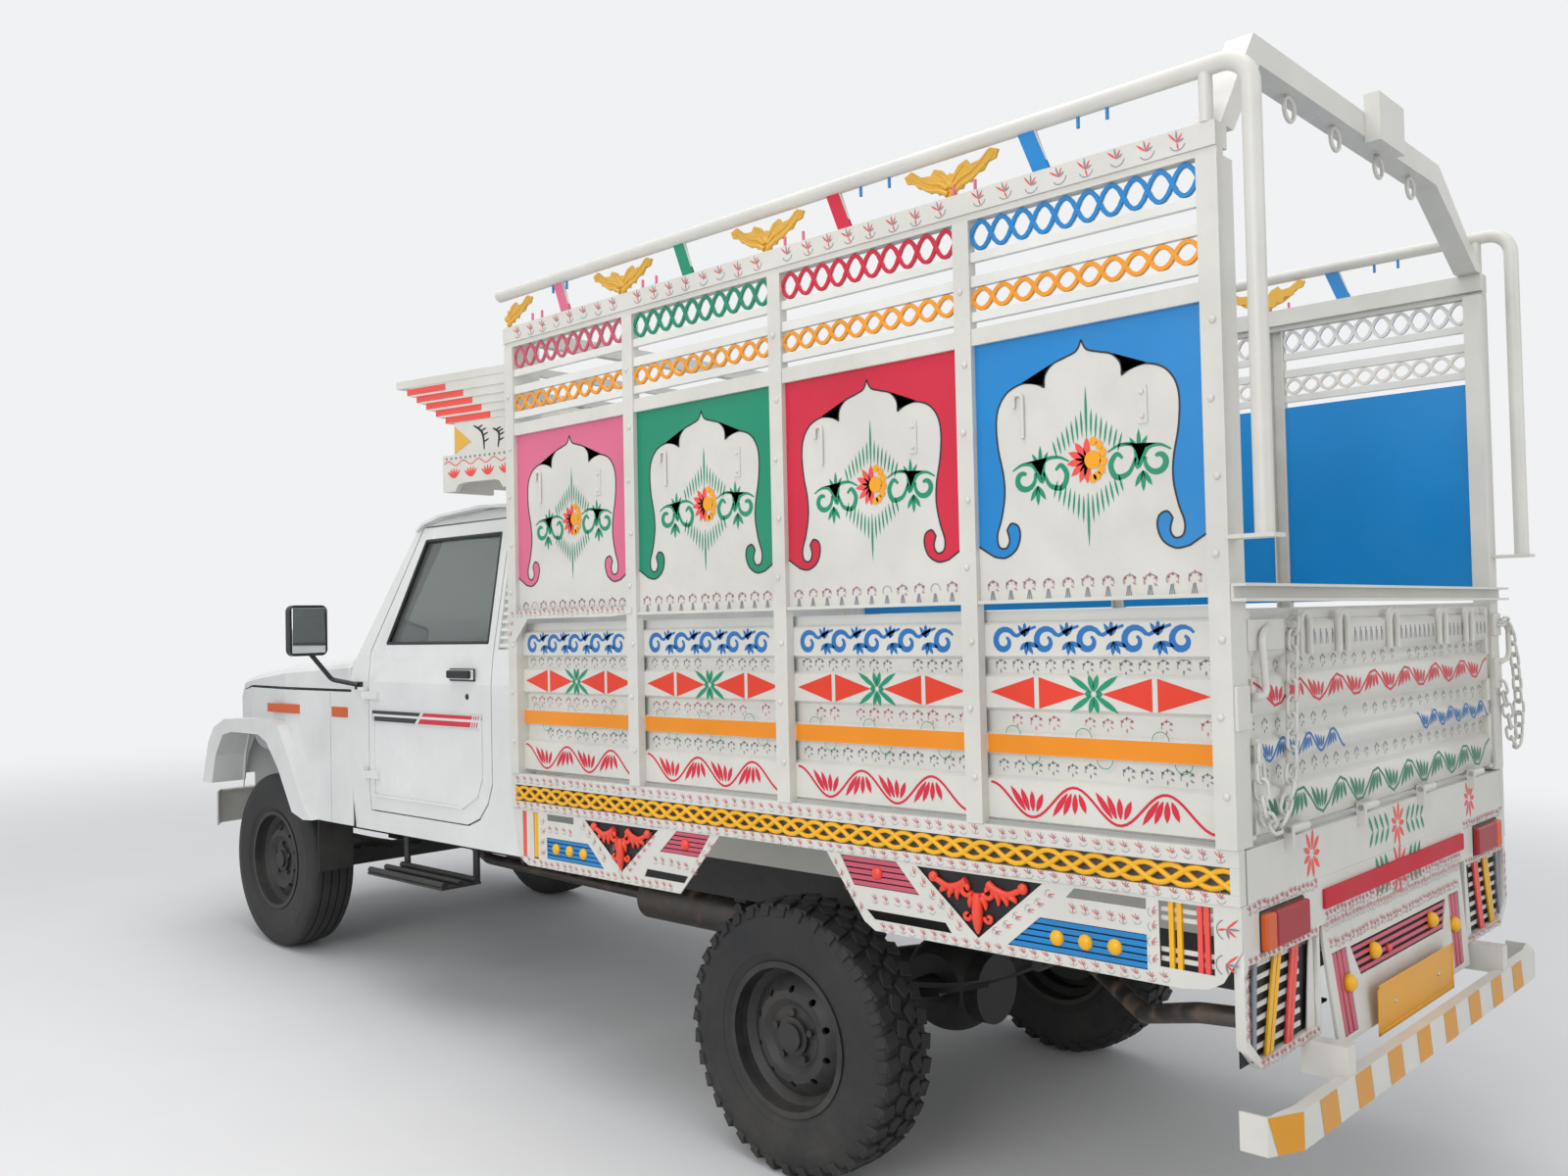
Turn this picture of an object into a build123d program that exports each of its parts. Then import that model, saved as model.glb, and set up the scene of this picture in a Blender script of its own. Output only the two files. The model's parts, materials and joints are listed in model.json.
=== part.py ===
"""A light pickup truck with a tall painted cargo body, as an assembly of its real pieces.

Units are millimetres. Everything is laid out in the truck's own level frame: +X is the
truck's left, -Y is forwards, +Z is up, y = 0 is the rear axle and z = 0 is the ground under
the rear wheels. The unladen truck stands nose down on its springs, so all the pieces are
tipped together by RAKE about the rear axle, which puts the front wheels on the same ground.
"""

from build123d import *
from math import cos, radians, sin
import os

# Stance and wheels
RAKE = 3.0                  # degrees nose down, unladen
WHEELBASE = 3014
TRACK_HALF = 680            # middle of a tyre from the centreline
TYRE_R = 368
TYRE_W = 195
RIM_R = 207                 # rim flange
BEAD_R = 194                # where the tyre sits on the rim
LUGS = 24                   # shoulder blocks on each side of a rear tyre
KINGPIN_X = 600
KINGPIN_R = 16
STUB_R = 22
FRONT_Y = -WHEELBASE * cos(radians(RAKE))
FRONT_Z = TYRE_R + WHEELBASE * sin(radians(RAKE))
REAR_Z = TYRE_R
FRAME_SHIFT = 1082.6        # moves the middle of the truck's length to the frame's origin

# Running clearances
SEAT = 0.3                  # pieces that rest against each other
PANEL_GAP = 5               # doors, lids and gates round their edges

# Ladder frame
RAIL_X = (335, 385)         # inner and outer face of a frame rail
RAIL_Z = (610, 730)
RAIL_Y = (-3560, 1290)
CROSS_Y = (-3300, -2050, -1250, -500, 560, 1180)
ENGINE_X = 210
ENGINE_Y = (-3000, -2420)
ENGINE_Z = (620, 1130)
TANK_Y = (-1180, -600)
TANK_Z = (470, 640)
NOSE_Y = -270               # front of the differential's nose
SILL_TOP = 920              # underside of the cargo body's cross bearers
LASH_R = 12.5               # lashing hole in each rail
LASH_Y = 1250
LASH_Z = 670

# Cab
CAB_HALF = 800
CAB_REAR = -1170
COWL_Y = -2245              # foot of the windscreen
FIREWALL_Y = -2270
WING_SEAM_Y = -2440         # the seam between cowl panel and wing
FACE_Y = -3470              # the front panel
SILL_Z = 735
BELT_Z = 1400
ROOF_Z = 1962
WALL = 32                   # door and wall thickness of the cab
DOOR_FRONT = -2135
DOOR_REAR = -1318
DOOR_LOW = 815
DOOR_HINGES = (950, 1250)    # middles of the door's two hinge lugs
BONNET_SEAM_Z = 1268
HINGE_X = CAB_HALF + 14      # door hinge pins
HINGE_Y = DOOR_FRONT - 12
HINGE_R = 5                 # door hinge pins
LID_Y = -2290               # the bonnet's hinge line
LID_Z = 1384
LID_R = 5
LID_PLAY = 0.8              # round the bonnet's pins
LID_X = 450                 # middle of each bonnet hinge

# Cargo body
BODY_HALF = 875             # outer face of the posts
BODY_FRONT = -1100
BODY_REAR = 1341
POST_W = 45
POST_D = 26                 # depth of a post's channel
POST_COUNT = 5
POST_PITCH = (BODY_REAR - BODY_FRONT - POST_W) / (POST_COUNT - 1)
POST_Z = (1026, 2400 - SEAT)
DECK_TOP = 1000
BOARD_Z = (1032, 1506)      # the corrugated lower board
PANEL_Z = (1522, 2150)      # the sheet above the gap, with the white edge folded at its top
STRIP_Z = (938, 990)        # the open lattice along the base rail
RAIL_TOP_Z = (2415, 2465)   # the painted square rail on the posts
PIPE_Z = 2578
PIPE_R = 19
SKIRT_LOW = 737
SKIRT_X = BODY_HALF - 8     # outer face of the skirt sheet
SHEET = 4
FLOOR_TOP = DECK_TOP + 3    # the chequered sheet between the walls
FLOOR_HALF = 800
GATE_HALF = BODY_HALF - 70 - PANEL_GAP
GATE_Y = (BODY_REAR - 40, BODY_REAR - 6)
GATE_Z = (1034, 1495)
GATE_HINGE_Y = BODY_REAR + 8
GATE_HINGE_Z = 1040
GATE_PIN_R = 6
GATE_HINGES = (-600, -200, 200, 600)
BUMPER_Z = (450, 525)        # the rear bumper's lower and upper edge
# the gate's chain as it hangs, (x, z)
CHAIN = ((752, 1448), (735, 1300), (716, 1160), (738, 1118), (764, 1140), (782, 1262))
HEAD_Z = (1960, 2085, 2195)  # foot of the board over the cab, its step and its top
HEAD_Y = (-1449, -1400)      # front of its lower band and of its upper board
CROWN_STEP = 28              # height of each slat over it


def box(x, y, z):
    """A block between the two limits of each axis."""
    size = Box(x[1] - x[0], y[1] - y[0], z[1] - z[0])
    return Pos((x[0] + x[1]) / 2, (y[0] + y[1]) / 2, (z[0] + z[1]) / 2) * size


def prism_x(outline, x0, x1):
    """A plate with its outline in (y, z), from x0 to x1."""
    wire = Polyline(*[(x0, y, z) for y, z in outline], close=True)
    return extrude(make_face(wire), amount=x1 - x0, dir=(1, 0, 0))


def prism_y(outline, y0, y1):
    """A plate with its outline in (x, z), from y0 to y1."""
    wire = Polyline(*[(x, y0, z) for x, z in outline], close=True)
    return extrude(make_face(wire), amount=y1 - y0, dir=(0, 1, 0))


def prism_z(outline, z0, z1):
    """A plate with its outline in (x, y), from z0 to z1."""
    wire = Polyline(*[(x, y, z0) for x, y in outline], close=True)
    return extrude(make_face(wire), amount=z1 - z0, dir=(0, 0, 1))


def rod_x(r, x, y, z):
    """A round bar along X between the two limits of x."""
    return Pos((x[0] + x[1]) / 2, y, z) * Rot(0, 90, 0) * Cylinder(r, x[1] - x[0])


def rod_y(r, x, y, z):
    """A round bar along Y between the two limits of y."""
    return Pos(x, (y[0] + y[1]) / 2, z) * Rot(90, 0, 0) * Cylinder(r, y[1] - y[0])


def rod_z(r, x, y, z):
    """A round bar along Z between the two limits of z."""
    return Pos(x, y, (z[0] + z[1]) / 2) * Cylinder(r, z[1] - z[0])


def pipe(r, points, bend):
    """A round bar along straight runs, joined by bends of one radius."""
    path = FilletPolyline(*points, radius=bend) if len(points) > 2 else Line(*points)
    return sweep(Plane(origin=path @ 0, z_dir=path % 0) * Circle(r), path=path)


def mirrored(solids):
    """The pieces and their mirror images on the other side of the truck."""
    return list(solids) + [mirror(s, about=Plane.YZ) for s in solids]


def post_y(i):
    """The middle of post i, counted from the front."""
    return BODY_FRONT + POST_W / 2 + i * POST_PITCH


def bays():
    """The clear lengths between neighbouring posts, as (y0, y1)."""
    edge = POST_W / 2
    return [(post_y(i) + edge, post_y(i + 1) - edge) for i in range(POST_COUNT - 1)]


PARTS = {}


def add(name, solids):
    """Keep the solids of one node."""
    PARTS[name] = [s for piece in solids for s in piece.solids()]


# The ladder frame and what hangs on it

def chassis_frame():
    left = box(RAIL_X, RAIL_Y, RAIL_Z) - box((RAIL_X[0] - 1, RAIL_X[1] - 6), RAIL_Y, (616, 724))
    # a lashing hole through each rail near its rear end
    left -= rod_x(LASH_R, (RAIL_X[0] - 5, RAIL_X[1] + 5), LASH_Y, LASH_Z)
    inside = RAIL_X[1] - 6 - SEAT
    cross = [box((-inside, inside), (y - 30, y + 30), (640, 710)) for y in CROSS_Y]
    # engine bearers and the tank's hangers
    low = RAIL_Z[0] - SEAT
    bearer = box((150, RAIL_X[0] - SEAT), (-2740, -2660), (low - 14, ENGINE_Z[0] - SEAT))
    bearer += box((150, RAIL_X[1]), (-2740, -2660), (low - 14, low))
    hangers = [box((-inside, -100), (y - 15, y + 15), (TANK_Z[1] + SEAT, TANK_Z[1] + 10))
               for y in (TANK_Y[0] + 130, TANK_Y[1] - 130)]
    return mirrored([left, bearer]) + cross + hangers


def engine_block():
    return [box((-ENGINE_X, ENGINE_X), ENGINE_Y, ENGINE_Z)]


def springs():
    """Leaf packs over or under the axles, hung from the rails by their eyes."""
    packs = []
    # middle y, height of the pack on its axle, half length
    for mid, low, reach in ((FRONT_Y, 560, 440), (0, 436, 560)):
        eye = 575
        arch = []
        for k, half in enumerate((reach, reach * 0.72, reach * 0.42)):
            lift = (eye - low) * (half / reach) ** 2
            z = low - 9 * k
            outline = [(mid - half, z + lift), (mid, z), (mid + half, z + lift)]
            curve = ThreePointArc(*[(330, y, h) for y, h in outline])
            upper = ThreePointArc(*[(330, y, h + 9) for y, h in reversed(outline)])
            ends = [Line(curve @ 1, upper @ 0), Line(upper @ 1, curve @ 0)]
            arch.append(extrude(make_face([curve, upper] + ends), amount=60, dir=(1, 0, 0)))
        pack = arch[0] + arch[1] + arch[2]
        for y in (mid - reach, mid + reach):
            pack += rod_x(16, (330, 390), y, eye + 6)
        packs.append(pack)
        for y in (mid - reach, mid + reach):
            packs.append(box((340, 380), (y - 25, y + 25), (eye + 22 + SEAT, RAIL_Z[0] - SEAT)))
    return mirrored(packs)


def front_axle():
    """A dropped beam with a kingpin boss at each end."""
    half = [(0, -70), (420, -70), (520, -34), (560, -34), (560, 34), (505, 34), (410, 6), (0, 6)]
    outline = [(x, FRONT_Z + z) for x, z in half]
    outline += [(-x, FRONT_Z + z) for x, z in reversed(half) if x]
    beam = prism_y(outline, FRONT_Y - 28, FRONT_Y + 28)
    for side in (-1, 1):
        x = side * KINGPIN_X
        boss = rod_z(40, x, FRONT_Y, (FRONT_Z - 38, FRONT_Z + 38))
        beam += boss + box(sorted((side * 540, side * 590)), (FRONT_Y - 28, FRONT_Y + 28),
                           (FRONT_Z - 34, FRONT_Z + 34))
        beam -= rod_z(KINGPIN_R + SEAT, x, FRONT_Y, (FRONT_Z - 60, FRONT_Z + 60))
        beam += box(sorted((side * 325, side * 395)), (FRONT_Y - 45, FRONT_Y + 45),
                    (FRONT_Z, 542 - SEAT))
    return [beam]


def knuckle(side):
    """The kingpin yoke and the stub axle that carries a front wheel."""
    mid = FRONT_Z
    arm_low = box((560, 656), (FRONT_Y - 36, FRONT_Y + 36), (mid - 74, mid - 44))
    arm_high = box((560, 656), (FRONT_Y - 36, FRONT_Y + 36), (mid + 44, mid + 74))
    web = box((645, 656), (FRONT_Y - 36, FRONT_Y + 36), (mid - 74, mid + 74))
    pin = rod_z(KINGPIN_R, KINGPIN_X, FRONT_Y, (mid - 74, mid + 74))
    stub = rod_x(STUB_R, (650, 732), FRONT_Y, mid)
    piece = arm_low + arm_high + web + pin + stub
    return [piece if side > 0 else mirror(piece, about=Plane.YZ)]


def rear_axle():
    """The axle tube, the differential's housing, its cover and the spring seats."""
    tube = rod_x(42, (-620, 620), 0, REAR_Z)
    bulb = Pos(0, 0, REAR_Z) * Sphere(150)
    nose = Pos(0, NOSE_Y + 100, REAR_Z + 10) * Rot(90, 0, 0) * Cone(95, 48, 200)
    cover = Pos(0, 135, REAR_Z) * Rot(90, 0, 0) * Cylinder(105, 50)
    axle = tube + (bulb & box((-110, 110), (-150, 150), (REAR_Z - 150, REAR_Z + 150)))
    axle += nose + cover
    for side in (-1, 1):
        axle += box(sorted((side * 320, side * 400)), (-45, 45), (REAR_Z, 418 - SEAT))
        axle += rod_x(STUB_R, sorted((side * 620, side * 732)), 0, REAR_Z)
    return [axle]


def propshaft():
    """The shaft from the gearbox's tail to the axle, with a flange at each end."""
    shaft = pipe(36, [(0, NOSE_Y - 20, REAR_Z + 12), (0, -2150, 600)], 0)
    shaft += rod_y(46, 0, (NOSE_Y - 30, NOSE_Y - SEAT), REAR_Z + 10)
    return [shaft + rod_y(52, 0, (ENGINE_Y[1] + SEAT, -2120), 604)]


def fuel_tank():
    tank = box((-RAIL_X[0] + SEAT, -60), TANK_Y, TANK_Z)
    return [fillet(tank.edges().filter_by(Axis.Y), 40)]


def exhaust():
    """The silencer under the left rail and the tail pipe to the rear left corner."""
    front = pipe(22, [(120, -2500, 560), (230, -2200, 540), (230, -1150, 520)], 120)
    silencer = Pos(230, -860, 520) * Rot(90, 0, 0) * Cylinder(78, 600)
    tail = pipe(22, [(230, -570, 520), (230, -330, 570), (230, 620, 570), (560, 960, 570),
                     (690, 1160, 640), (690, 1300, 650)], 60)
    loop = box((222, 238), (-1265, -1235), (530, 640 - SEAT))
    loop += box((222, 238), (-515, -485), (540, 640 - SEAT)) + box((222, 238), (545, 575), (580, 640 - SEAT))
    return [front + silencer + tail + loop]


# Wheels

def carcass(tread):
    """A tyre as a ring about the X axis, at the origin, from its tread's (radius, half width)."""
    wall = [(BEAD_R + SEAT, 74), (205, 82), (250, 96), (290, TYRE_W / 2), (325, 93), (348, 84)]
    rings = wall + tread
    return ring_about_x([(x, r) for r, x in rings] + [(-x, r) for r, x in reversed(rings)])


def ribbed_tyre():
    """A road tyre with three grooves round its tread."""
    groove = TYRE_R - 7
    return carcass([(TYRE_R - 3, 70), (TYRE_R - 1, 54), (groove, 53), (groove, 47), (TYRE_R, 46),
                    (TYRE_R, 14), (groove, 13), (groove, 7), (TYRE_R, 6)])


def lugged_tyre():
    """A tyre with open shoulder blocks that run down its sides."""
    base = TYRE_R - 10
    ring = carcass([(base, 66)])
    crown = ring_about_x([(88, 335), (90, 350), (70, TYRE_R), (-70, TYRE_R), (-90, 350), (-88, 335)])
    blocks = None
    for side in (-1, 1):
        for k in range(LUGS):
            # each block leans across the tread, and the two rows are half a pitch apart
            turn = 360 / LUGS * (k + (side + 1) / 4)
            lug = Pos(side * 60, 0, TYRE_R - 14) * Rot(0, 0, side * 14) * Box(78, 40, 44)
            lug = Rot(turn, 0, 0) * lug
            blocks = lug if blocks is None else blocks + lug
    return ring + (blocks & crown)


def ring_about_x(section):
    """A ring about the X axis from its section's (x, radius) points."""
    return revolve(make_face(Polyline(*[(x, 0, r) for x, r in section], close=True)), Axis.X, 360)


def rim():
    """The pressed steel rim and disc with its drum, dished outwards along +X."""
    # (x, radius): the side that the tyre sits on, then the inside
    barrel = [(88, RIM_R), (84, RIM_R), (80, BEAD_R), (60, BEAD_R), (44, 190), (26, 170)]
    inside = [(88, 190), (60, 187), (46, 184), (28, 164)]
    ring = ring_about_x(barrel + [(-x, r) for x, r in reversed(barrel)]
                        + [(-x, r) for x, r in inside] + list(reversed(inside)))
    # the disc: out at the rim, in at the nuts and flat to the hub
    outer = [(27, 165), (38, 150), (59, 123), (61, 102), (45, 82), (43, 40)]
    inner = [(35, 40), (36, 86), (52, 105), (50, 120), (29, 146), (18, 165)]
    plate = ring_about_x(outer + inner)
    for k in range(10):
        plate -= Rot(36 * k, 0, 0) * Pos(50, 0, 128) * Rot(0, 90, 0) * Cylinder(9, 80)
    hub = rod_x(52, (-14, 56), 0, 0) + rod_x(36, (55, 66), 0, 0)
    drum = rod_x(138, (-14, 16), 0, 0) + rod_x(72, (15, 30), 0, 0)
    wheel = ring + plate + hub + drum
    for k in range(5):
        wheel += Rot(72 * k, 0, 0) * Pos(46, 0, 66) * Rot(0, 90, 0) * Cylinder(9, 24)
    return wheel - rod_x(STUB_R + SEAT, (-60, 58), 0, 0)


def add_wheels():
    tyres = {"front": ribbed_tyre(), "rear": lugged_tyre()}
    one_rim = rim()
    for side, word in ((1, "left"), (-1, "right")):
        for y, z, place in ((FRONT_Y, FRONT_Z, "front"), (0, REAR_Z, "rear")):
            turn = Rot(0, 0, 0 if side > 0 else 180)
            where = Pos(side * TRACK_HALF, y, z) * turn
            add(f"{place}_tyre_{word}", [where * tyres[place]])
            add(f"{place}_rim_{word}", [where * one_rim])


# The cab

CAB_SIDE = [(FIREWALL_Y, SILL_Z), (FIREWALL_Y, 1372), (COWL_Y, 1386), (-1902, 1890), (-1860, 1915 - SEAT),
            (-1740, 1945), (-1480, ROOF_Z), (-1240, 1948), (CAB_REAR, 1890), (CAB_REAR, SILL_Z)]
CAB_FACE = [(CAB_HALF - 14, SILL_Z), (CAB_HALF, 900), (CAB_HALF, 1300), (CAB_HALF - 10, BELT_Z),
            (712, 1870), (680, 1915), (600, 1938), (300, 1975), (0, 1985)]
WINDOW_SIDE = [(-2030, 1440), (-1842, 1826), (-1352, 1826), (-1352, 1440)]
DOOR_SIDE = [(DOOR_FRONT, DOOR_LOW), (DOOR_FRONT, 1412), (-1868, 1872), (DOOR_REAR + 8, 1872),
             (DOOR_REAR, 1400), (DOOR_REAR, 965), (-1345, 900), (-1405, 842), (-1480, DOOR_LOW)]


def two_sided(outline):
    """A face outline made whole from its left half."""
    return outline + [(-x, z) for x, z in reversed(outline) if x]


def cab_body(inset):
    """The cab's whole outer form, or with an inset the hollow inside its walls."""
    d = inset
    side = [(y + d, z) if y < -2200 else (y, z) for y, z in CAB_SIDE]
    side = [(y - d, z) if y == CAB_REAR else (y, z) for y, z in side]
    side = [(y, z + 40 if z == SILL_Z else z - d) if d else (y, z) for y, z in side]
    face = [(max(x - d, 0) if x else 0, z - d if z > 1880 else z) for x, z in CAB_FACE]
    return prism_x(side, -CAB_HALF, CAB_HALF) & prism_y(two_sided(face), -2400, -1100)


def grown(outline, d):
    """An outline in (y, z) moved outwards by d from its middle."""
    cy = (min(p[0] for p in outline) + max(p[0] for p in outline)) / 2
    cz = (min(p[1] for p in outline) + max(p[1] for p in outline)) / 2
    return [(y + (d if y > cy else -d), z + (d if z > cz else -d)) for y, z in outline]


def screen_opening(outline, lean_y):
    """A prism for a front or rear window from its outline in (x, z)."""
    return prism_y(two_sided(outline), *lean_y)


WINDSCREEN = [(0, 1430), (660, 1430), (595, 1845), (0, 1850)]
REAR_WINDOW = [(0, 1480), (430, 1480), (430, 1790), (0, 1790)]


def cab_shell():
    shell = cab_body(0) - cab_body(WALL)
    shell -= prism_x(grown(DOOR_SIDE, PANEL_GAP), -CAB_HALF - 50, -400)
    shell -= prism_x(grown(DOOR_SIDE, PANEL_GAP), 400, CAB_HALF + 50)
    shell -= screen_opening(WINDSCREEN, (-2400, -1850))
    shell -= screen_opening(REAR_WINDOW, (-1210, -1100))
    # the upright opening behind each door, with its slats
    for side in (-1, 1):
        shell -= box(sorted((side * 600, side * 900)), (-1290, -1222), (1420, 1670))
    # a door sill stands up from the floor, and a gutter runs round the roof
    gutter = [(-1905, 1884), (-1862, 1908), (-1740, 1932), (-1480, 1946), (-1200, 1934),
              (-1200, 1924), (-1480, 1936), (-1740, 1922), (-1858, 1898), (-1900, 1876)]
    for side in (-1, 1):
        shell += prism_x([(y, z - 18) for y, z in gutter], *sorted((side * 650, side * 730)))
    louvres = (cab_body(16) - cab_body(22)) & box((-900, 900), (-1292, -1220), (1418, 1672))
    blades = cab_body(4) - cab_body(18)
    for k in range(9):
        louvres += blades & box((-900, 900), (-1292, -1220), (1428 + 27 * k, 1440 + 27 * k))
    shell += louvres + box((-600, 600), (-1880, -1440), (770, 900 - SEAT))
    for side in (-1, 1):
        # mounts on the frame, then the fixed leaves of the bonnet's and the door's hinges
        for y in (-2150, -1300):
            shell += rod_z(30, side * 360, y, (RAIL_Z[1] + SEAT, SILL_Z + 5))
        for x in (LID_X - 25, LID_X + 13):
            wide = sorted((side * x, side * (x + 12)))
            leaf = box(wide, (LID_Y - 9, FIREWALL_Y + 8), (1340, LID_Z - 12))
            leaf += box(wide, (LID_Y - 9, LID_Y + 9), (1340, LID_Z)) + rod_x(9, wide, LID_Y, LID_Z)
            shell += leaf - rod_x(LID_R + LID_PLAY, (-600, 600), LID_Y, LID_Z)
        for z in DOOR_HINGES:
            leaf = box(sorted((side * (CAB_HALF - 2), side * (HINGE_X + 9))),
                       (HINGE_Y - 33, HINGE_Y + 7), (z + 16, z + 30))
            shell += leaf - rod_z(HINGE_R + SEAT, side * HINGE_X, HINGE_Y, (z, z + 40))
    return [shell]


def door(side):
    """A door with its window cut, hinge lugs, swage line and handle."""
    skin = cab_body(0) - cab_body(WALL)
    panel = skin & prism_x(DOOR_SIDE, 400, CAB_HALF + 50)
    panel -= prism_x(WINDOW_SIDE, 400, CAB_HALF + 50)
    # the pressed line that follows the door's lower rear corner
    swage = [(-2100, 1180), (-1370, 1180), (-1370, 985), (-1400, 915), (-1500, 868), (-2100, 868)]
    inner = grown(swage, -9)
    raised = prism_x(swage, CAB_HALF - 1, CAB_HALF + 5) - prism_x(inner, CAB_HALF - 2, CAB_HALF + 6)
    panel += raised & prism_x(DOOR_SIDE, 400, 900)
    for z in DOOR_HINGES:
        panel += box((CAB_HALF - 2, CAB_HALF + 14), (DOOR_FRONT + 2, DOOR_FRONT + 80), (z - 15, z + 15))
        panel += rod_z(9, HINGE_X, HINGE_Y, (z - 15, z + 15))
        panel += rod_z(HINGE_R, HINGE_X, HINGE_Y, (z + 10, z + 32))
        panel += box((CAB_HALF + 4, CAB_HALF + 14), (HINGE_Y, DOOR_FRONT + 4), (z - 15, z + 15))
    panel += box((CAB_HALF - 2, CAB_HALF + 10), (-1560, -1410), (1318, 1352))
    return [panel if side > 0 else mirror(panel, about=Plane.YZ)]


def glass_wall(thick):
    """A sheet of glass on the middle of the cab's walls."""
    mid = WALL / 2
    return cab_body(mid - thick / 2) - cab_body(mid + thick / 2)


def door_glass(side):
    pane = glass_wall(6) & prism_x(grown(WINDOW_SIDE, -0.3), 400, 900)
    return [pane if side > 0 else mirror(pane, about=Plane.YZ)]


def cab_glass():
    front = [(x - SEAT if x else 0, z) for x, z in WINDSCREEN]
    front = [(x, z + SEAT if z < 1500 else z - SEAT) for x, z in front]
    rear = [(x - SEAT if x else 0, z + SEAT if z < 1500 else z - SEAT) for x, z in REAR_WINDOW]
    wall = glass_wall(6)
    screen = wall & screen_opening(front, (-2400, -1850))
    back = wall & screen_opening(rear, (-1260, -1100))
    return [screen, back]


# bonnet sections: y, half width, seam height, shoulder height, crown height
BONNET = ((FIREWALL_Y - 6, 796, 1268, 1366, 1424), (-2850, 790, 1268, 1338, 1396),
          (-3290, 732, 1266, 1300, 1352), (-3420, 706, 1244, 1282, 1316), (-3476, 694, 1192, 1222, 1246))
# plan of the wings' outer face, (x, y)
WING_PLAN = ((CAB_HALF, FIREWALL_Y - SEAT), (CAB_HALF, -2700), (792, -2850), (734, -3290),
             (708, -3420), (698, FACE_Y + 4))


def bonnet_section(y, half, seam, shoulder, crown, d, drop):
    """One cross-section of the bonnet, drawn in by d with its open foot dropped."""
    right = [(half - d, seam - drop), (half - d, shoulder - 14 - d), (half - 14 - d, shoulder + 4 - d),
             (half - 60 - d, shoulder + 20 - d), (half * 0.55, crown - 9 - d), (0, crown - d)]
    ring = right + [(-x, z) for x, z in reversed(right) if x]
    return make_face(Polyline(*[(x, y, z) for x, z in ring], close=True))


def bonnet():
    """The lid over the engine, wrapped over to the seam on each side."""
    outer = loft([bonnet_section(*row, 0, 0) for row in BONNET], ruled=True)
    rows = [*BONNET[:-1], (BONNET[-1][0] + 14, *BONNET[-1][1:])]
    inner = loft([bonnet_section(*row, 14, 40) for row in rows], ruled=True)
    lid = outer - inner
    for side in (-1, 1):
        lid += rod_x(LID_R, sorted((side * (LID_X - 30), side * (LID_X + 30))), LID_Y, LID_Z)
        wide = sorted((side * (LID_X - 8), side * (LID_X + 8)))
        lid += box(wide, (LID_Y - 6, LID_Y + 6), (LID_Z, LID_Z + 20))
    return [lid]


def wing_skin(thick):
    """The upright skin of a wing along its plan."""
    inner = [(x - thick, y) for x, y in reversed(WING_PLAN)]
    return prism_z(list(WING_PLAN) + inner, 560, BONNET_SEAM_Z - 10)


ARCH = [(-3540, 400), (-3475, 760), (-3420, 950), (-3345, 1045), (-3262, 1062), (-3000, 1062),
        (-2925, 1034), (-2820, 930), (-2700, 770), (-2640, 400)]
FLARE_TOP = [(-3560, 830), (-3500, 1010), (-3440, 1080), (-3330, 1120), (-2890, 1132), (-2820, 1112),
             (-2740, 1010), (-2600, 800), (-2528, 744)]
FLARE_LOW = [(-2600, 740), (-2695, 764), (-2816, 934), (-2922, 1038), (-2998, 1066), (-3264, 1066),
             (-3348, 1049), (-3424, 954), (-3462, 830)]
FLARE_OUT = CAB_HALF + 42


def front_wings():
    """A wing with its flat-topped flare, and the cowl panel behind its seam."""
    side = [(FACE_Y + 4, 900), (FACE_Y + 4, 1190), (-3420, 1240), (-3290, 1256),
            (WING_SEAM_Y - 2, BONNET_SEAM_Z - 10), (WING_SEAM_Y - 2, 740), (-2560, 740), (FACE_Y, 740)]
    skin = wing_skin(5) & prism_x(side, 500, 900)
    skin -= prism_x(ARCH, 500, 900)
    outline = make_face(Polyline(*[(690, y, z) for y, z in FLARE_TOP + FLARE_LOW], close=True))
    lip = extrude(outline, amount=FLARE_OUT - 690, dir=(1, 0, 0))
    lip -= extrude(offset(outline, -5, kind=Kind.INTERSECTION), amount=FLARE_OUT - 690 - 5, dir=(1, 0, 0))
    house = box((391, 720), (-3330, -2900), (1075, 1080))
    apron = box((385, 391), (-3440, FIREWALL_Y - 40), (RAIL_Z[1] + SEAT, 1150))
    cowl = wing_skin(5) & box((500, 900), (WING_SEAM_Y + 2, FIREWALL_Y - SEAT), (740, 1258))
    return mirrored([skin + lip + house + apron, cowl])


def front_fascia():
    """The front panel with its grille bars, between the lamps."""
    half = [(0, FACE_Y - 40), (440, FACE_Y - 34), (690, FACE_Y - 2), (690, FACE_Y + 2), (0, FACE_Y + 2)]
    plan = half + [(-x, y) for x, y in reversed(half) if x]
    plate = prism_z(plan, 860, 1188)
    plate -= box((-400, 400), (FACE_Y - 60, FACE_Y + 10), (930, 1150))
    for k in range(9):
        x = -360 + 90 * k
        plate += box((x - 9, x + 9), (FACE_Y - 34, FACE_Y), (925, 1155))
    for side in (-1, 1):
        plate -= Pos(side * 555, FACE_Y - 20, 1045) * Rot(90, 0, 0) * Cylinder(92, 90)
    lower = box((-640, 640), (FACE_Y - 8, FACE_Y), (RAIL_Z[1] + SEAT, 862))
    return [plate + lower]


def headlamps():
    lamps = []
    for side in (-1, 1):
        bowl = Pos(side * 555, FACE_Y - 14, 1045) * Rot(90, 0, 0) * Cylinder(92 - SEAT, 44)
        lens = Pos(side * 555, FACE_Y - 40, 1045) * Rot(90, 0, 0) * Cylinder(86, 14)
        lamps.append(bowl + lens)
    return lamps


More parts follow.
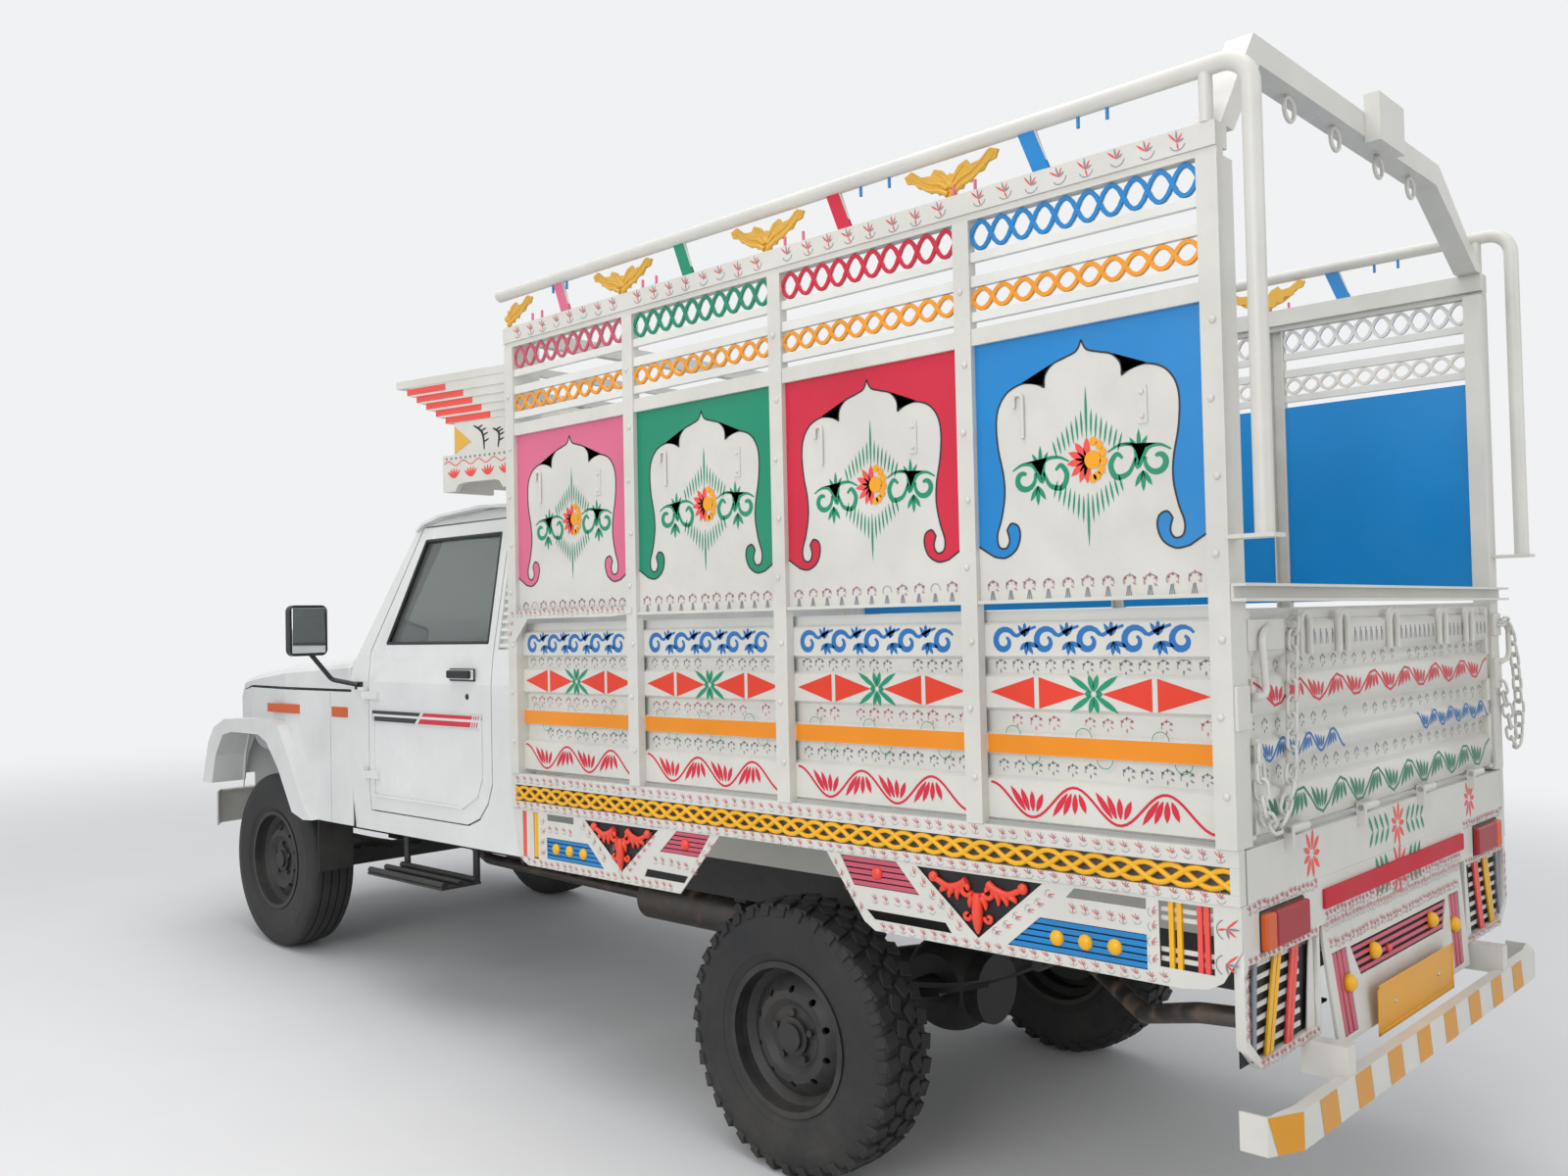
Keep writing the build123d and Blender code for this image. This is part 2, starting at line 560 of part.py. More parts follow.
def front_bumper():
    """A channel bumper on the ends of the frame rails."""
    front = RAIL_Y[0] - SEAT - 6
    half = [(0, front), (600, front), (780, front + 36), (826, front + 120)]
    back = [(820, front + 120), (774, front + 41), (598, front + 6), (0, front + 6)]
    ring = half + back
    left = prism_z(ring, 640, 790)
    shelf = prism_z([(0, front), (600, front), (780, front + 36), (740, front + 60), (0, front + 60)], 784, 790)
    bumper = left + shelf
    return [bumper + mirror(bumper, about=Plane.YZ)]


def seat():
    cushion = box((-640, 640), (-1930, -1330), (900, 1060))
    low = 1060 + SEAT
    back = prism_x([(-1440, low), (-1360, low), (CAB_REAR - 36, 1560), (CAB_REAR - 116, 1580)], -640, 640)
    return [fillet(cushion.edges().filter_by(Axis.X), 40), fillet(back.edges().filter_by(Axis.X), 25)]


def dashboard():
    front = FIREWALL_Y + WALL + SEAT
    outline = [(front, 1110), (front, 1330), (-2190, 1342), (-2060, 1300), (-2040, 1210), (-2110, 1110)]
    return [prism_x(outline, -735, 735)]


def steering_wheel():
    """The wheel and its column on the right-hand side."""
    rim = Torus(185, 13) + Box(360, 26, 10) + Box(26, 360, 10) + Cylinder(38, 36)
    column = Pos(0, 0, -120) * Cylinder(19, 240)
    wheel = Plane(origin=(-380, -1900, 1330), x_dir=(1, 0, 0), z_dir=(0, 0.82, 0.57)) * (rim + column)
    return [wheel - dashboard()[0]]


def mirrors():
    head = box((900, 1050), (-2296, -2262), (1404, 1596))
    head = fillet(head.edges().filter_by(Axis.Y), 24)
    arm = pipe(9, [(CAB_HALF + 7, -2205, 1288), (880, -2270, 1310), (960, -2279, 1410)], 30)
    foot = box((CAB_HALF + SEAT, CAB_HALF + 8), (-2230, -2180), (1270, 1299))
    return mirrored([head + arm + foot])


def footsteps():
    """Tubes and slats hung under each door."""
    step = box((690, 850), (-2070, -1560), (585, 593))
    for k in range(3):
        step += rod_y(11, 706 + 66 * k, (-2070, -1560), 601)
    for y in (-2050, -1580):
        step += box((690, 700), (y - 15, y + 15), (585, SILL_Z - SEAT))
    return mirrored([step])


def mudflaps():
    return mirrored([box((650, CAB_HALF), (-2556, -2550), (530, 740 - SEAT))])


# The cargo body

def cargo_deck():
    """The floor sheet on its cross bearers, and the runners that rest on the frame."""
    wide = (-BODY_HALF + 34, BODY_HALF - 34)
    ends = (BODY_FRONT + 2, BODY_REAR - 44 - SEAT)
    under = DECK_TOP - 6
    deck = box(wide, ends, (under, DECK_TOP))
    deck += box((-FLOOR_HALF, FLOOR_HALF), (BODY_FRONT + 44, BODY_REAR - 71), (DECK_TOP - 1, FLOOR_TOP))
    middles = [BODY_FRONT + 110 + k * 300 for k in range(8)]
    spans = [(ends[0], ends[0] + 38)] + [(y - 25, y + 25) for y in middles] + [(ends[1] - 38, ends[1])]
    bearers = [box(wide, span, (SILL_TOP, under - SEAT)) for span in spans]
    runners = [box((x - 30, x + 30), ends, (RAIL_Z[1] + SEAT, SILL_TOP - SEAT)) for x in (-360, 360)]
    return [deck] + bearers + runners


def base_rails():
    """The full-length frame round the lattice strip under the side boards."""
    rail = box((BODY_HALF - 34 + SEAT, BODY_HALF - 4), (BODY_FRONT, BODY_REAR), (915, 1026 - SEAT))
    ends = (BODY_FRONT + 20, BODY_REAR - 20)
    rail -= box((BODY_HALF - 40, BODY_HALF), ends, STRIP_Z)
    rail += wavy_pair((BODY_HALF - 12, BODY_HALF - 5), *ends, STRIP_Z[0] - 2, STRIP_Z[1] + 2, 11, 21)
    return mirrored([rail])


def side_boards():
    """One corrugated board a side: wide proud bands and narrow recessed ribs."""
    proud = BODY_HALF - POST_D - SEAT
    deep = proud - 16
    # (lower edge, upper edge) of each proud band
    bands = ((1036, 1130), (1184, 1230), (1284, 1361), (1400, 1478))
    outline = [(deep, BOARD_Z[0])]
    for low, high in bands:
        outline += [(deep, low - 4), (proud, low + 4), (proud, high - 4), (deep, high + 4)]
    outline += [(deep, BOARD_Z[1])]
    outline = [p for i, p in enumerate(outline) if i == 0 or p != outline[i - 1]]
    back = [(x - 3, z) for x, z in reversed(outline)]
    board = prism_y(outline + back, BODY_FRONT + POST_W + SEAT, BODY_REAR - POST_W - SEAT)
    return mirrored([board])


def side_posts():
    posts = []
    for i in range(POST_COUNT):
        y = post_y(i)
        inner = BODY_HALF - (POST_D if 0 < i < POST_COUNT - 1 else 70)
        post = box((inner, BODY_HALF), (y - POST_W / 2, y + POST_W / 2), POST_Z)
        if 0 < i < POST_COUNT - 1:
            post -= box((inner - 1, BODY_HALF - 4), (y - POST_W / 2 + 4, y + POST_W / 2 - 4), POST_Z)
        posts.append(post)
    # a gusseted bracket joins the first two posts over the board
    y0, y1 = post_y(0) - 12, post_y(1) + 4
    bracket = [(y0, 1546), (y1, 1546), (y1, 1528), (y1 - 90, 1520), (y0 + 100, 1520), (y0 + 30, 1447),
               (y0, 1447)]
    posts[0] += prism_x(bracket, BODY_HALF - 1, BODY_HALF + 3)
    posts[0] += posts.pop(1)
    return mirrored(posts)


def side_panels():
    """The sheet in each bay with its folded edges."""
    panels = []
    for y0, y1 in bays():
        x = BODY_HALF - 14
        sheet = box((x - SHEET, x), (y0 + SEAT, y1 - SEAT), PANEL_Z)
        for low, high in ((PANEL_Z[0], PANEL_Z[0] + 8), (PANEL_Z[1] - 38, PANEL_Z[1])):
            sheet += box((x - 1, BODY_HALF - 3), (y0 + SEAT, y1 - SEAT), (low, high))
        panels.append(sheet)
    return mirrored(panels)


SLATS_Z = ((2166, 2189), (2246, 2272), (2303, 2326))
LATTICES_Z = ((2190, 2245), (2327, 2399))


def wavy_pair(x, y0, y1, low, high, bar, waves):
    """Two wavy bars that cross each other, as one open plate between two heights."""
    mid = (low + high) / 2
    rise = (high - low - bar) / 2
    step = (y1 - y0) / (6 * waves)
    plate = None
    for sign in (-1, 1):
        line = [(y0 + k * step, mid + sign * rise * (0, 1, 1, 0, -1, -1)[k % 6]) for k in range(6 * waves + 1)]
        edge = [(y, z + bar / 2) for y, z in line] + [(y, z - bar / 2) for y, z in reversed(line)]
        wave = prism_x(edge, *x)
        plate = wave if plate is None else plate + wave
    return plate


def side_lattices():
    """Slats and lattice bands in each bay, above the panel."""
    x = (BODY_HALF - 20, BODY_HALF - 6)
    y0, y1 = bays()[0]
    pieces = [box(x, (y0 + SEAT, y1 - SEAT), row) for row in SLATS_Z]
    for low, high in LATTICES_Z:
        pieces.append(wavy_pair((x[0] + 3, x[1] - 3), y0 + SEAT, y1 - SEAT, low + SEAT, high - SEAT, 10, 5))
    return mirrored([Pos(0, k * POST_PITCH, 0) * piece for k in range(POST_COUNT - 1) for piece in pieces])


def top_rails():
    rails = [box((BODY_HALF - 48, BODY_HALF + 3), (BODY_FRONT, BODY_REAR), (RAIL_TOP_Z[0] + SEAT, 2465)),
             box((BODY_HALF - 30, BODY_HALF - 2), (BODY_FRONT, BODY_REAR), (2400, 2415))]
    return mirrored(rails)


def pipe_rails():
    """The round rail on its flat braces, bent down behind the last post."""
    x = BODY_HALF - 8
    rail = pipe(PIPE_R, [(x, BODY_FRONT - 30, PIPE_Z), (x, 1412, PIPE_Z), (x, 1412, 1640)], 62)
    low = RAIL_TOP_Z[1] + SEAT
    for y in (-812, -250, 330, 900):
        brace = prism_x([(y - 22, PIPE_Z), (y + 18, PIPE_Z), (y + 58, low), (y + 18, low)], x - 4, x + 4)
        rail += brace
    rail += box((x - 30, x + 24), (BODY_REAR + SEAT, 1440), (1634, 1642))
    rail += rod_z(14, x, BODY_REAR - 22, (low, PIPE_Z))
    return mirrored([rail])


def post_ornaments():
    """Scrolls over the posts, between the square rail and the pipe."""
    half = [(0, 0), (16, 9), (13, 20), (34, 18), (40, 32), (58, 27), (66, 44), (92, 46), (104, 62),
            (126, 66), (134, 84), (112, 92), (84, 72), (56, 69), (46, 82), (24, 74), (10, 58), (0, 62)]
    whole = half + [(-y, z) for y, z in reversed(half) if y]
    x = BODY_HALF - 18
    low = RAIL_TOP_Z[1] + SEAT
    plates = []
    for i in range(1, POST_COUNT - 1):
        plates.append(prism_x([(post_y(i) - 34 + y, low + z) for y, z in whole], x - 4, x + 4))
    first = [(BODY_FRONT + 2 + y, low + z) for y, z in half]
    plates.append(prism_x(first, x - 4, x + 4))
    return mirrored(plates)


def front_wall():
    """The wall behind the cab: frame, sheet and slats."""
    y = (BODY_FRONT + 4, BODY_FRONT + 40)
    wide = BODY_HALF - 71
    wall = box((-wide, wide), y, (DECK_TOP + SEAT, 2465))
    wall -= box((-wide + 40, wide - 40), y, (2166, 2420))
    for z in (2240, 2320):
        wall += box((-wide + 20, wide - 20), (y[0] + 8, y[1] - 8), (z, z + 26))
    wall -= box((-wide + 40, wide - 40), (y[0] + 6, y[1]), (1060, 2120))
    return [wall]


HEAD_FLARE = 0.2            # outward run of the side wings for each unit forwards


def head_ring(front, grow, wall, low, high):
    """Two spreading side wings and the front that joins them, as one upright wall."""
    rear = BODY_FRONT - SEAT
    near = BODY_HALF - 60 + grow
    far = near + HEAD_FLARE * (rear - front)
    plan = [(near, rear), (far, front), (-far, front), (-near, rear), (wall - near, rear),
            (wall - far, front + wall), (far - wall, front + wall), (near - wall, rear)]
    return prism_z(plan, low, high)


def headboard():
    """The board over the cab: a proud lower band with an arched foot, and the upper board."""
    foot, step, top = HEAD_Z
    board = head_ring(HEAD_Y[1], 0, 14, step - 1, top)
    board += head_ring(HEAD_Y[0], 6, 20, foot, step)
    # arches in the two side wings, and clearance over the cab's roof
    y0, y1 = HEAD_Y[0] + 56, BODY_FRONT - 74
    arch = [(y0, foot - 1), (y0 + 16, foot + 22), (y0 + 40, foot + 28), (y1 - 40, foot + 28),
            (y1 - 16, foot + 22), (y1, foot - 1)]
    board -= prism_x(arch, -1000, 1000)
    board -= box((-700, 700), (HEAD_Y[0] - 1, HEAD_Y[0] + 30), (foot - 1, foot + 22))
    return [board]


def crown():
    """Five slats that step forwards as they rise, and the slotted crest over them."""
    low = HEAD_Z[2] + SEAT
    slats = head_ring(HEAD_Y[1] - 38, 2, 36, low, low + CROWN_STEP)
    for k in range(1, 5):
        z = low + CROWN_STEP * k
        slats += head_ring(HEAD_Y[1] - 38 - 41 * k, 2 + 4 * k, 36, z, z + CROWN_STEP - 5)
        slats += head_ring(HEAD_Y[1] - 20 - 41 * k, 2 + 4 * k, 24, z - 6, z + 1)
    z = low + 5 * CROWN_STEP
    front = HEAD_Y[1] - 253
    slats += head_ring(front + 60, 18, 24, z - 6, z + 1)
    crest = head_ring(front, 20, 36, z, z + 26)
    for k in range(14):
        x = -845 + 130 * k
        crest -= box((x - 45, x + 45), (front - 5, front + 50), (z + 9, z + 16))
    return [slats + crest]


def rear_hoop():
    """The square tube over the rear, with its offset block and hanging rings."""
    y = (BODY_REAR - 62, BODY_REAR - 2)
    low = RAIL_TOP_Z[1] + SEAT
    foot = BODY_HALF - 26
    # the two upper corners aren't at the same distance from the middle
    outer = [(foot, low), (680, 2700), (-490, 2700), (-foot, low)]
    inner = [(60 - foot, low), (-462, 2640), (652, 2640), (foot - 60, low)]
    hoop = prism_y(outer + inner, *y)
    hoop += box((-113, 56), (BODY_REAR - 3, BODY_REAR + 34), (2625, 2743))
    for x in (439, 175, -107, -341):
        hoop += Pos(x, BODY_REAR - 30, 2611) * Rot(90, 0, 0) * Torus(27, 5)
    return [hoop]


def rear_bar():
    """The loose channel across the rear above the tailgate."""
    bar = box((-BODY_HALF + 4, BODY_HALF - 4), (BODY_REAR + SEAT, BODY_REAR + 32), (1512, 1548))
    bar -= box((-BODY_HALF + 4, BODY_HALF - 4), (BODY_REAR + 6, BODY_REAR + 40), (1518, 1542))
    return [bar]


def chain(points, pitch):
    """Flat-sided links along a line of (x, z) points at y = 0, each turned against the last."""
    path = Polyline(*[(x, 0, z) for x, z in points])
    count = int(path.length / pitch)
    links = None
    for k in range(count + 1):
        where = path @ (k / count)
        along = path % min((k + 0.5) / count, 1)
        link = Box(8, 18, pitch + 6) - Box(10, 8, pitch - 6)
        frame = Plane(origin=where, z_dir=along, x_dir=(0, 1, 0)) * Rot(0, 0, 90 * (k % 2) + 45)
        links = frame * link if links is None else links + frame * link
    return links


def tailgate():
    """The ribbed steel gate, hinged along its lower edge."""
    y = GATE_Y[1]
    # (lower edge, upper edge) of each proud band
    bands = ((1040, 1130), (1184, 1230), (1284, 1361), (1400, 1470))
    outline = [(y - 16, GATE_Z[0])]
    for low, high in bands:
        outline += [(y - 16, low - 4), (y, low + 4), (y, high - 4), (y - 16, high + 4)]
    outline += [(y - 16, GATE_Z[1])]
    back = [(a - 4, z) for a, z in reversed(outline)]
    gate = prism_x(outline + back, -GATE_HALF, GATE_HALF)
    for side in (-1, 1):
        gate += box(sorted((side * (GATE_HALF - 26), side * GATE_HALF)), (y - 30, y), GATE_Z)
    gate += box((-GATE_HALF, GATE_HALF), (y - 30, y - 14), (GATE_Z[1] - 20, GATE_Z[1]))
    for x in GATE_HINGES:
        gate += rod_x(9, (x - 40, x + 40), GATE_HINGE_Y, GATE_HINGE_Z)
        gate += rod_x(GATE_PIN_R, (x, x + 58), GATE_HINGE_Y, GATE_HINGE_Z)
        gate += box((x - 36, x + 36), (y - 8, GATE_HINGE_Y), (1034, 1046))
    # upturned rod hooks on the gate's top edge
    for x in (520, 306, -13, -378, -598):
        hook = [(x - 26, 1396), (x - 26, 1488), (x + 26, 1488), (x + 26, 1396)]
        gate += pipe(8, [(a, y + 6, z) for a, z in hook], 22)
    # a securing chain hangs from a lug at each end of the gate
    left = Pos(0, y + 12, 0) * chain(CHAIN, 24)
    for x, z in (CHAIN[0], CHAIN[-1]):
        left += box((x - 7, x + 7), (y - 17, y + 14), (z - 7, z + 7))
    return [gate + left + mirror(left, about=Plane.YZ)]


def rear_panel():
    """The painted cross member under the tailgate."""
    panel = box((-BODY_HALF + 40, BODY_HALF - 40), (BODY_REAR - 44, BODY_REAR), (915, 1022))
    for x in GATE_HINGES:
        leaf = box((x + 41, x + 55), (BODY_REAR - 2, GATE_HINGE_Y + 9), (1000, GATE_HINGE_Z + 9))
        panel += leaf - rod_x(GATE_PIN_R + SEAT, (x, x + 80), GATE_HINGE_Y, GATE_HINGE_Z)
    return [panel]


def tail_lamps():
    lamp = box((572, 784), (BODY_REAR - 20, BODY_REAR + 18), (814, 890))
    lamp = fillet(lamp.edges().filter_by(Axis.Y), 12)
    strip = box((-470, 470), (BODY_REAR + SEAT, BODY_REAR + 8), (846, 888))
    return mirrored([lamp]) + [strip]


def rear_grilles():
    """The ladder grilles beside the centre panel, with its slats, knobs and blank plate."""
    y = (BODY_REAR - 22, BODY_REAR)
    wide = BODY_HALF - 14
    frame = box((492, wide), y, (587, 812)) - box((508, wide - 18), y, (603, 796))
    for k in range(5):
        x = 530 + 62 * k
        bar = prism_y([(x, 798), (x + 20, 798), (x + 62, 600), (x + 42, 600)], y[0] + 6, y[1] - 6)
        frame += bar & box((500, wide - 10), y, (590, 806))
    frame += box((-10, wide), y, (812, 915 - SEAT))
    frame -= box((572 - SEAT, 784 + SEAT), (BODY_REAR - 30, BODY_REAR + 20), (814 - SEAT, 890 + SEAT))
    # the centre panel hangs a little outwards, with a window of slats
    lean = [(y[0], 840), (y[1], 840), (y[1] + 2, 755), (y[1] + 19, 545), (y[1] + 14, 545), (y[0], 755)]
    sides = [(-447, 545), (-465, 755), (-465, 840), (465, 840), (465, 755), (447, 545)]
    centre = prism_x(lean, -470, 470) & prism_y(sides, y[0] - 1, y[1] + 30)
    centre -= prism_y([(-325, 738), (325, 738), (284, 668), (-284, 668)], y[0] - 1, y[1] + 30)
    for k in range(4):
        z = 672 + 17 * k
        centre += box((-330, 330), (y[1] - 8, y[1] + 4), (z, z + 9))
    for x, z in ((198, 706), (360, 666)):
        for side in (-1, 1):
            centre += rod_y(21, side * x, (y[1] - 8, y[1] + 26), z)
    plate = box((-260, 260), (y[1] + 33, y[1] + 36), (528, 641))
    for x in (-150, 150):
        plate += box((x - 15, x + 15), (y[1] + 6, y[1] + 34), (570, 600))
    return [frame + mirror(frame, about=Plane.YZ) + centre + plate]


def side_skirts():
    """The sheet below the base rail before and behind the rear wheel, with its cut-outs."""
    x = (SKIRT_X - SHEET, SKIRT_X)
    front = [(BODY_FRONT, 915 - SEAT), (BODY_FRONT + 22, 790), (-1058, 752), (-1020, SKIRT_LOW),
             (-297, SKIRT_LOW), (-133, 915 - SEAT)]
    rear = [(257, 915 - SEAT), (378, 756), (412, SKIRT_LOW), (1215, SKIRT_LOW), (1300, 762), (BODY_REAR, 830),
            (BODY_REAR, 915 - SEAT)]
    pieces = []
    for outline, cuts, backed, knobs in ((front, FRONT_CUTS, FRONT_CUTS[3:6], FRONT_KNOBS),
                                         (rear, REAR_CUTS, REAR_CUTS[0:5:2], REAR_KNOBS)):
        sheet = prism_x(outline, *x)
        for cut in cuts:
            sheet -= prism_x(cut, x[0] - 1, x[1] + 1)
        for cut in backed:
            sheet += prism_x(grown(cut, 6), x[0] - 6, x[0] + 1) & prism_x(outline, x[0] - 6, x[1])
            if len(cut) == 4:
                low, high = min(z for y, z in cut), max(z for y, z in cut)
                for k in range(4):
                    z = low + (high - low) * (k + 0.5) / 4
                    rib = box(x, (BODY_FRONT, BODY_REAR), (z, z + 7))
                    sheet += prism_x(cut, x[0] - 1, x[1] - 1) & rib
            else:
                whole = SCROLL + [(-y, z) for y, z in reversed(SCROLL) if y]
                scroll = [(cut[2][0] + y, cut[0][1] + z) for y, z in whole]
                sheet += prism_x(scroll, x[0] - 1, x[1] + 4)
        for y, z in knobs:
            sheet += rod_x(14, (x[0] - 2, x[1] + 8), y, z)
        pieces.append(sheet)
    return mirrored(pieces)


# half outline of the cast scroll in each triangle, (y, z) from the middle of its upper edge
SCROLL = [(0, -122), (15, -104), (11, -84), (30, -80), (40, -60), (62, -58), (70, -40), (98, -36),
          (104, -20), (130, -16), (138, 0), (0, 0)]
FRONT_KNOBS = [(-874, 802), (-806, 802), (-738, 801), (-269, 873)]
REAR_KNOBS = [(408, 878), (922, 795), (992, 796), (1062, 798)]


# cut-outs of the skirts, each an outline in (y, z)
FRONT_CUTS = [
    [(-1048, 762), (-1048, 908), (-1026, 908), (-1026, 762)],
    [(-990, 762), (-990, 908), (-964, 908), (-964, 762)],
    [(-917, 887), (-917, 907), (-782, 907), (-782, 887)],
    [(-921, 768), (-921, 834), (-711, 834), (-637, 768)],
    [(-728, 906), (-388, 906), (-552, 771)],
    [(-309, 911), (-172, 911), (-221, 846), (-382, 846)],
    [(-439, 791), (-263, 789), (-280, 768), (-452, 768)],
]
REAR_CUTS = [
    [(303, 911), (481, 911), (550, 840), (346, 840)],
    [(385, 786), (625, 786), (642, 764), (410, 764)],
    [(543, 908), (889, 908), (716, 764)],
    [(969, 908), (1137, 908), (1137, 886), (948, 886)],
    [(881, 834), (1137, 834), (1137, 762), (795, 762)],
    [(1165, 908), (1283, 908), (1283, 774), (1165, 774)],
]


def rear_bumper():
    """The channel bumper with bent-back ends on two brackets."""
    plan = [(0, 1424), (800, 1424), (880, 1386), (880, 1330), (874, 1330), (874, 1382), (798, 1418), (0, 1418)]
    whole = plan + [(-x, y) for x, y in reversed(plan) if x]
    bumper = prism_z(whole, *BUMPER_Z)
    shelf = [(0, 1424), (800, 1424), (880, 1386), (850, 1386), (790, 1396), (0, 1396)]
    shelf = shelf + [(-x, y) for x, y in reversed(shelf) if x]
    bumper += prism_z(shelf, BUMPER_Z[0], BUMPER_Z[0] + 6) + prism_z(shelf, BUMPER_Z[1] - 6, BUMPER_Z[1])
    for side in (-1, 1):
        bumper += box(sorted((side * 520, side * 560)), (1320, 1420), (BUMPER_Z[1] - 10, 587 - SEAT))
    return [bumper]


def build():
    add("chassis_frame", chassis_frame())
    add("engine_block", engine_block())
    add("leaf_springs", springs())
    add("front_axle", front_axle())
    add("rear_axle", rear_axle())
    add("propshaft", propshaft())
    add("fuel_tank", fuel_tank())
    add("exhaust", exhaust())
    add("knuckle_left", knuckle(1))
    add("knuckle_right", knuckle(-1))
    add_wheels()
    add("cab_shell", cab_shell())
    add("cab_glass", cab_glass())
    for side, word in ((1, "left"), (-1, "right")):
        add(f"door_{word}", door(side))
        add(f"door_glass_{word}", door_glass(side))
    add("bonnet", bonnet())
    add("front_wings", front_wings())
    add("front_fascia", front_fascia())
    add("headlamps", headlamps())
    add("front_bumper", front_bumper())
    add("seat", seat())
    add("dashboard", dashboard())
    add("steering_wheel", steering_wheel())
    add("mirrors", mirrors())
    add("footsteps", footsteps())
    add("mudflaps", mudflaps())
    add("cargo_deck", cargo_deck())
    add("base_rails", base_rails())
    add("side_boards", side_boards())
    add("side_posts", side_posts())
    add("side_panels", side_panels())
    add("side_lattices", side_lattices())
    add("top_rails", top_rails())
    add("pipe_rails", pipe_rails())
    add("post_ornaments", post_ornaments())
    add("front_wall", front_wall())
    add("headboard", headboard())
    add("crown", crown())
    add("rear_hoop", rear_hoop())
    add("rear_bar", rear_bar())
    add("tailgate", tailgate())
    add("rear_panel", rear_panel())
    add("tail_lamps", tail_lamps())
    add("rear_grilles", rear_grilles())
    add("side_skirts", side_skirts())
    add("rear_bumper", rear_bumper())


def export():
    """Tip the truck onto its wheels, move it to the frame's origin and write its nodes."""
    os.makedirs("parts", exist_ok=True)
    stance = Pos(0, FRAME_SHIFT, REAR_Z) * Rot(RAKE, 0, 0) * Pos(0, 0, -REAR_Z)
    for name, solids in PARTS.items():
        placed = [stance * s for s in solids]
        export_step(placed[0] if len(placed) == 1 else Compound(children=placed), f"parts/{name}.step")


build()
export()
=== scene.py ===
# %% [markdown]
# # A light cargo truck with a tall painted body
#
# The truck is a plain white cab on a ladder frame, and behind it a high steel body that a
# workshop has painted, riveted and decorated by hand. The solids come from the part's own
# model. This lesson gives them their finishes and adds what is too thin or too small for a
# solid: painted bands, arches, lattices, rivets, chains, tread and stitched seat cloth.

# %% Load the truck's solids
import bpy
import json
import math
import random
from mathutils import Matrix, Vector

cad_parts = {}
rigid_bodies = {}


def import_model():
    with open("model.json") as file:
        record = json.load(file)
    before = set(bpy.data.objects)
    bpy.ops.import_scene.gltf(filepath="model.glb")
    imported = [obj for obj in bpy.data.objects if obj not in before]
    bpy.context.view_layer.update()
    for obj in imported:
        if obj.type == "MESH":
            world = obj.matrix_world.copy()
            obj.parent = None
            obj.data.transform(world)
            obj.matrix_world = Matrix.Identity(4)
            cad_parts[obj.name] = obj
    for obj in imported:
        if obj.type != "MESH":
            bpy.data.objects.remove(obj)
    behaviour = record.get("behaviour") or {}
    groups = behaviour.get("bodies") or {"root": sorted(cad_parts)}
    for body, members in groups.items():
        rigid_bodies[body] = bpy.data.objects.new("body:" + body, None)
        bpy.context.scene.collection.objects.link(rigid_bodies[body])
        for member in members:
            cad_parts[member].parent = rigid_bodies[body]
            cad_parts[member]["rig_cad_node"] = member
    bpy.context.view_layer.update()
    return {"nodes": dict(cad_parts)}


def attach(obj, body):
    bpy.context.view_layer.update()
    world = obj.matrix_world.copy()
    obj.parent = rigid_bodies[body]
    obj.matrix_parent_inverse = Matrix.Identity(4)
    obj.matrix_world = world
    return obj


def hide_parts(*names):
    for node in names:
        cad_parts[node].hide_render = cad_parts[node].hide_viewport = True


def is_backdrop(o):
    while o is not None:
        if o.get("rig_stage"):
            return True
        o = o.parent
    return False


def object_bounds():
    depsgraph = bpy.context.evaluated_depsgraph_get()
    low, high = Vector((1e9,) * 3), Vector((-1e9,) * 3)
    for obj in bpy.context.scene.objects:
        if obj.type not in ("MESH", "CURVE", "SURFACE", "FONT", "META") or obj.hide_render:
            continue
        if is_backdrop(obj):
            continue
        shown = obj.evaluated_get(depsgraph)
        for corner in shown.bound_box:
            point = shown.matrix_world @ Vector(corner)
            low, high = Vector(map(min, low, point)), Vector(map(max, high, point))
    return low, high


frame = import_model()
nodes = frame["nodes"]

# %% [markdown]
# The empty truck stands nose down by three degrees, so it is easiest to model in its own level
# frame: X to its left, Y rearwards from the rear axle, Z up from the ground under the rear
# wheels. One matrix then tips a finished piece onto the real ground.

# %% The truck's own level frame
RAKE = math.radians(3.0)
SHIFT = 1.0826
AXLE_Z = 0.368
WHEELBASE = 3.014
FRONT_Y = -WHEELBASE * math.cos(RAKE)
FRONT_Z = AXLE_Z + WHEELBASE * math.sin(RAKE)
TIP = (Matrix.Translation((0, SHIFT, AXLE_Z)) @ Matrix.Rotation(RAKE, 4, "X")
       @ Matrix.Translation((0, 0, -AXLE_Z)))
print("front axle in the level frame:", round(FRONT_Y, 4), round(FRONT_Z, 4))

# %% Sizes that many pieces share
HALF = 0.875                 # outer face of the posts
BODY_FRONT, BODY_REAR = -1.100, 1.341
POST_W = 0.045
PITCH = (BODY_REAR - BODY_FRONT - POST_W) / 4
POSTS = [BODY_FRONT + POST_W / 2 + i * PITCH for i in range(5)]
BAYS = [(POSTS[i] + POST_W / 2, POSTS[i + 1] - POST_W / 2) for i in range(4)]
PROUD_X = 0.8487             # faces of the corrugated side boards
DEEP_X = 0.8327
PANEL_X = 0.861              # outer face of the upper sheets
BASE_X = 0.871               # outer face of the strip under the boards
SKIRT_X = 0.867
RAIL_X = HALF + 0.003
GATE_Y = 1.335               # outer face of the tailgate
CROSS_Y = 1.341              # and of the cross member below it
HINGE_Y, HINGE_Z = 1.349, 1.040      # the tailgate's hinge line
SKIRT_TOP = 0.9147           # where the skirts and the rear grilles begin
SHEET_EDGE = 0.0008          # how far the edges of thin sheet are rounded
print("posts:", [round(y, 3) for y in POSTS])

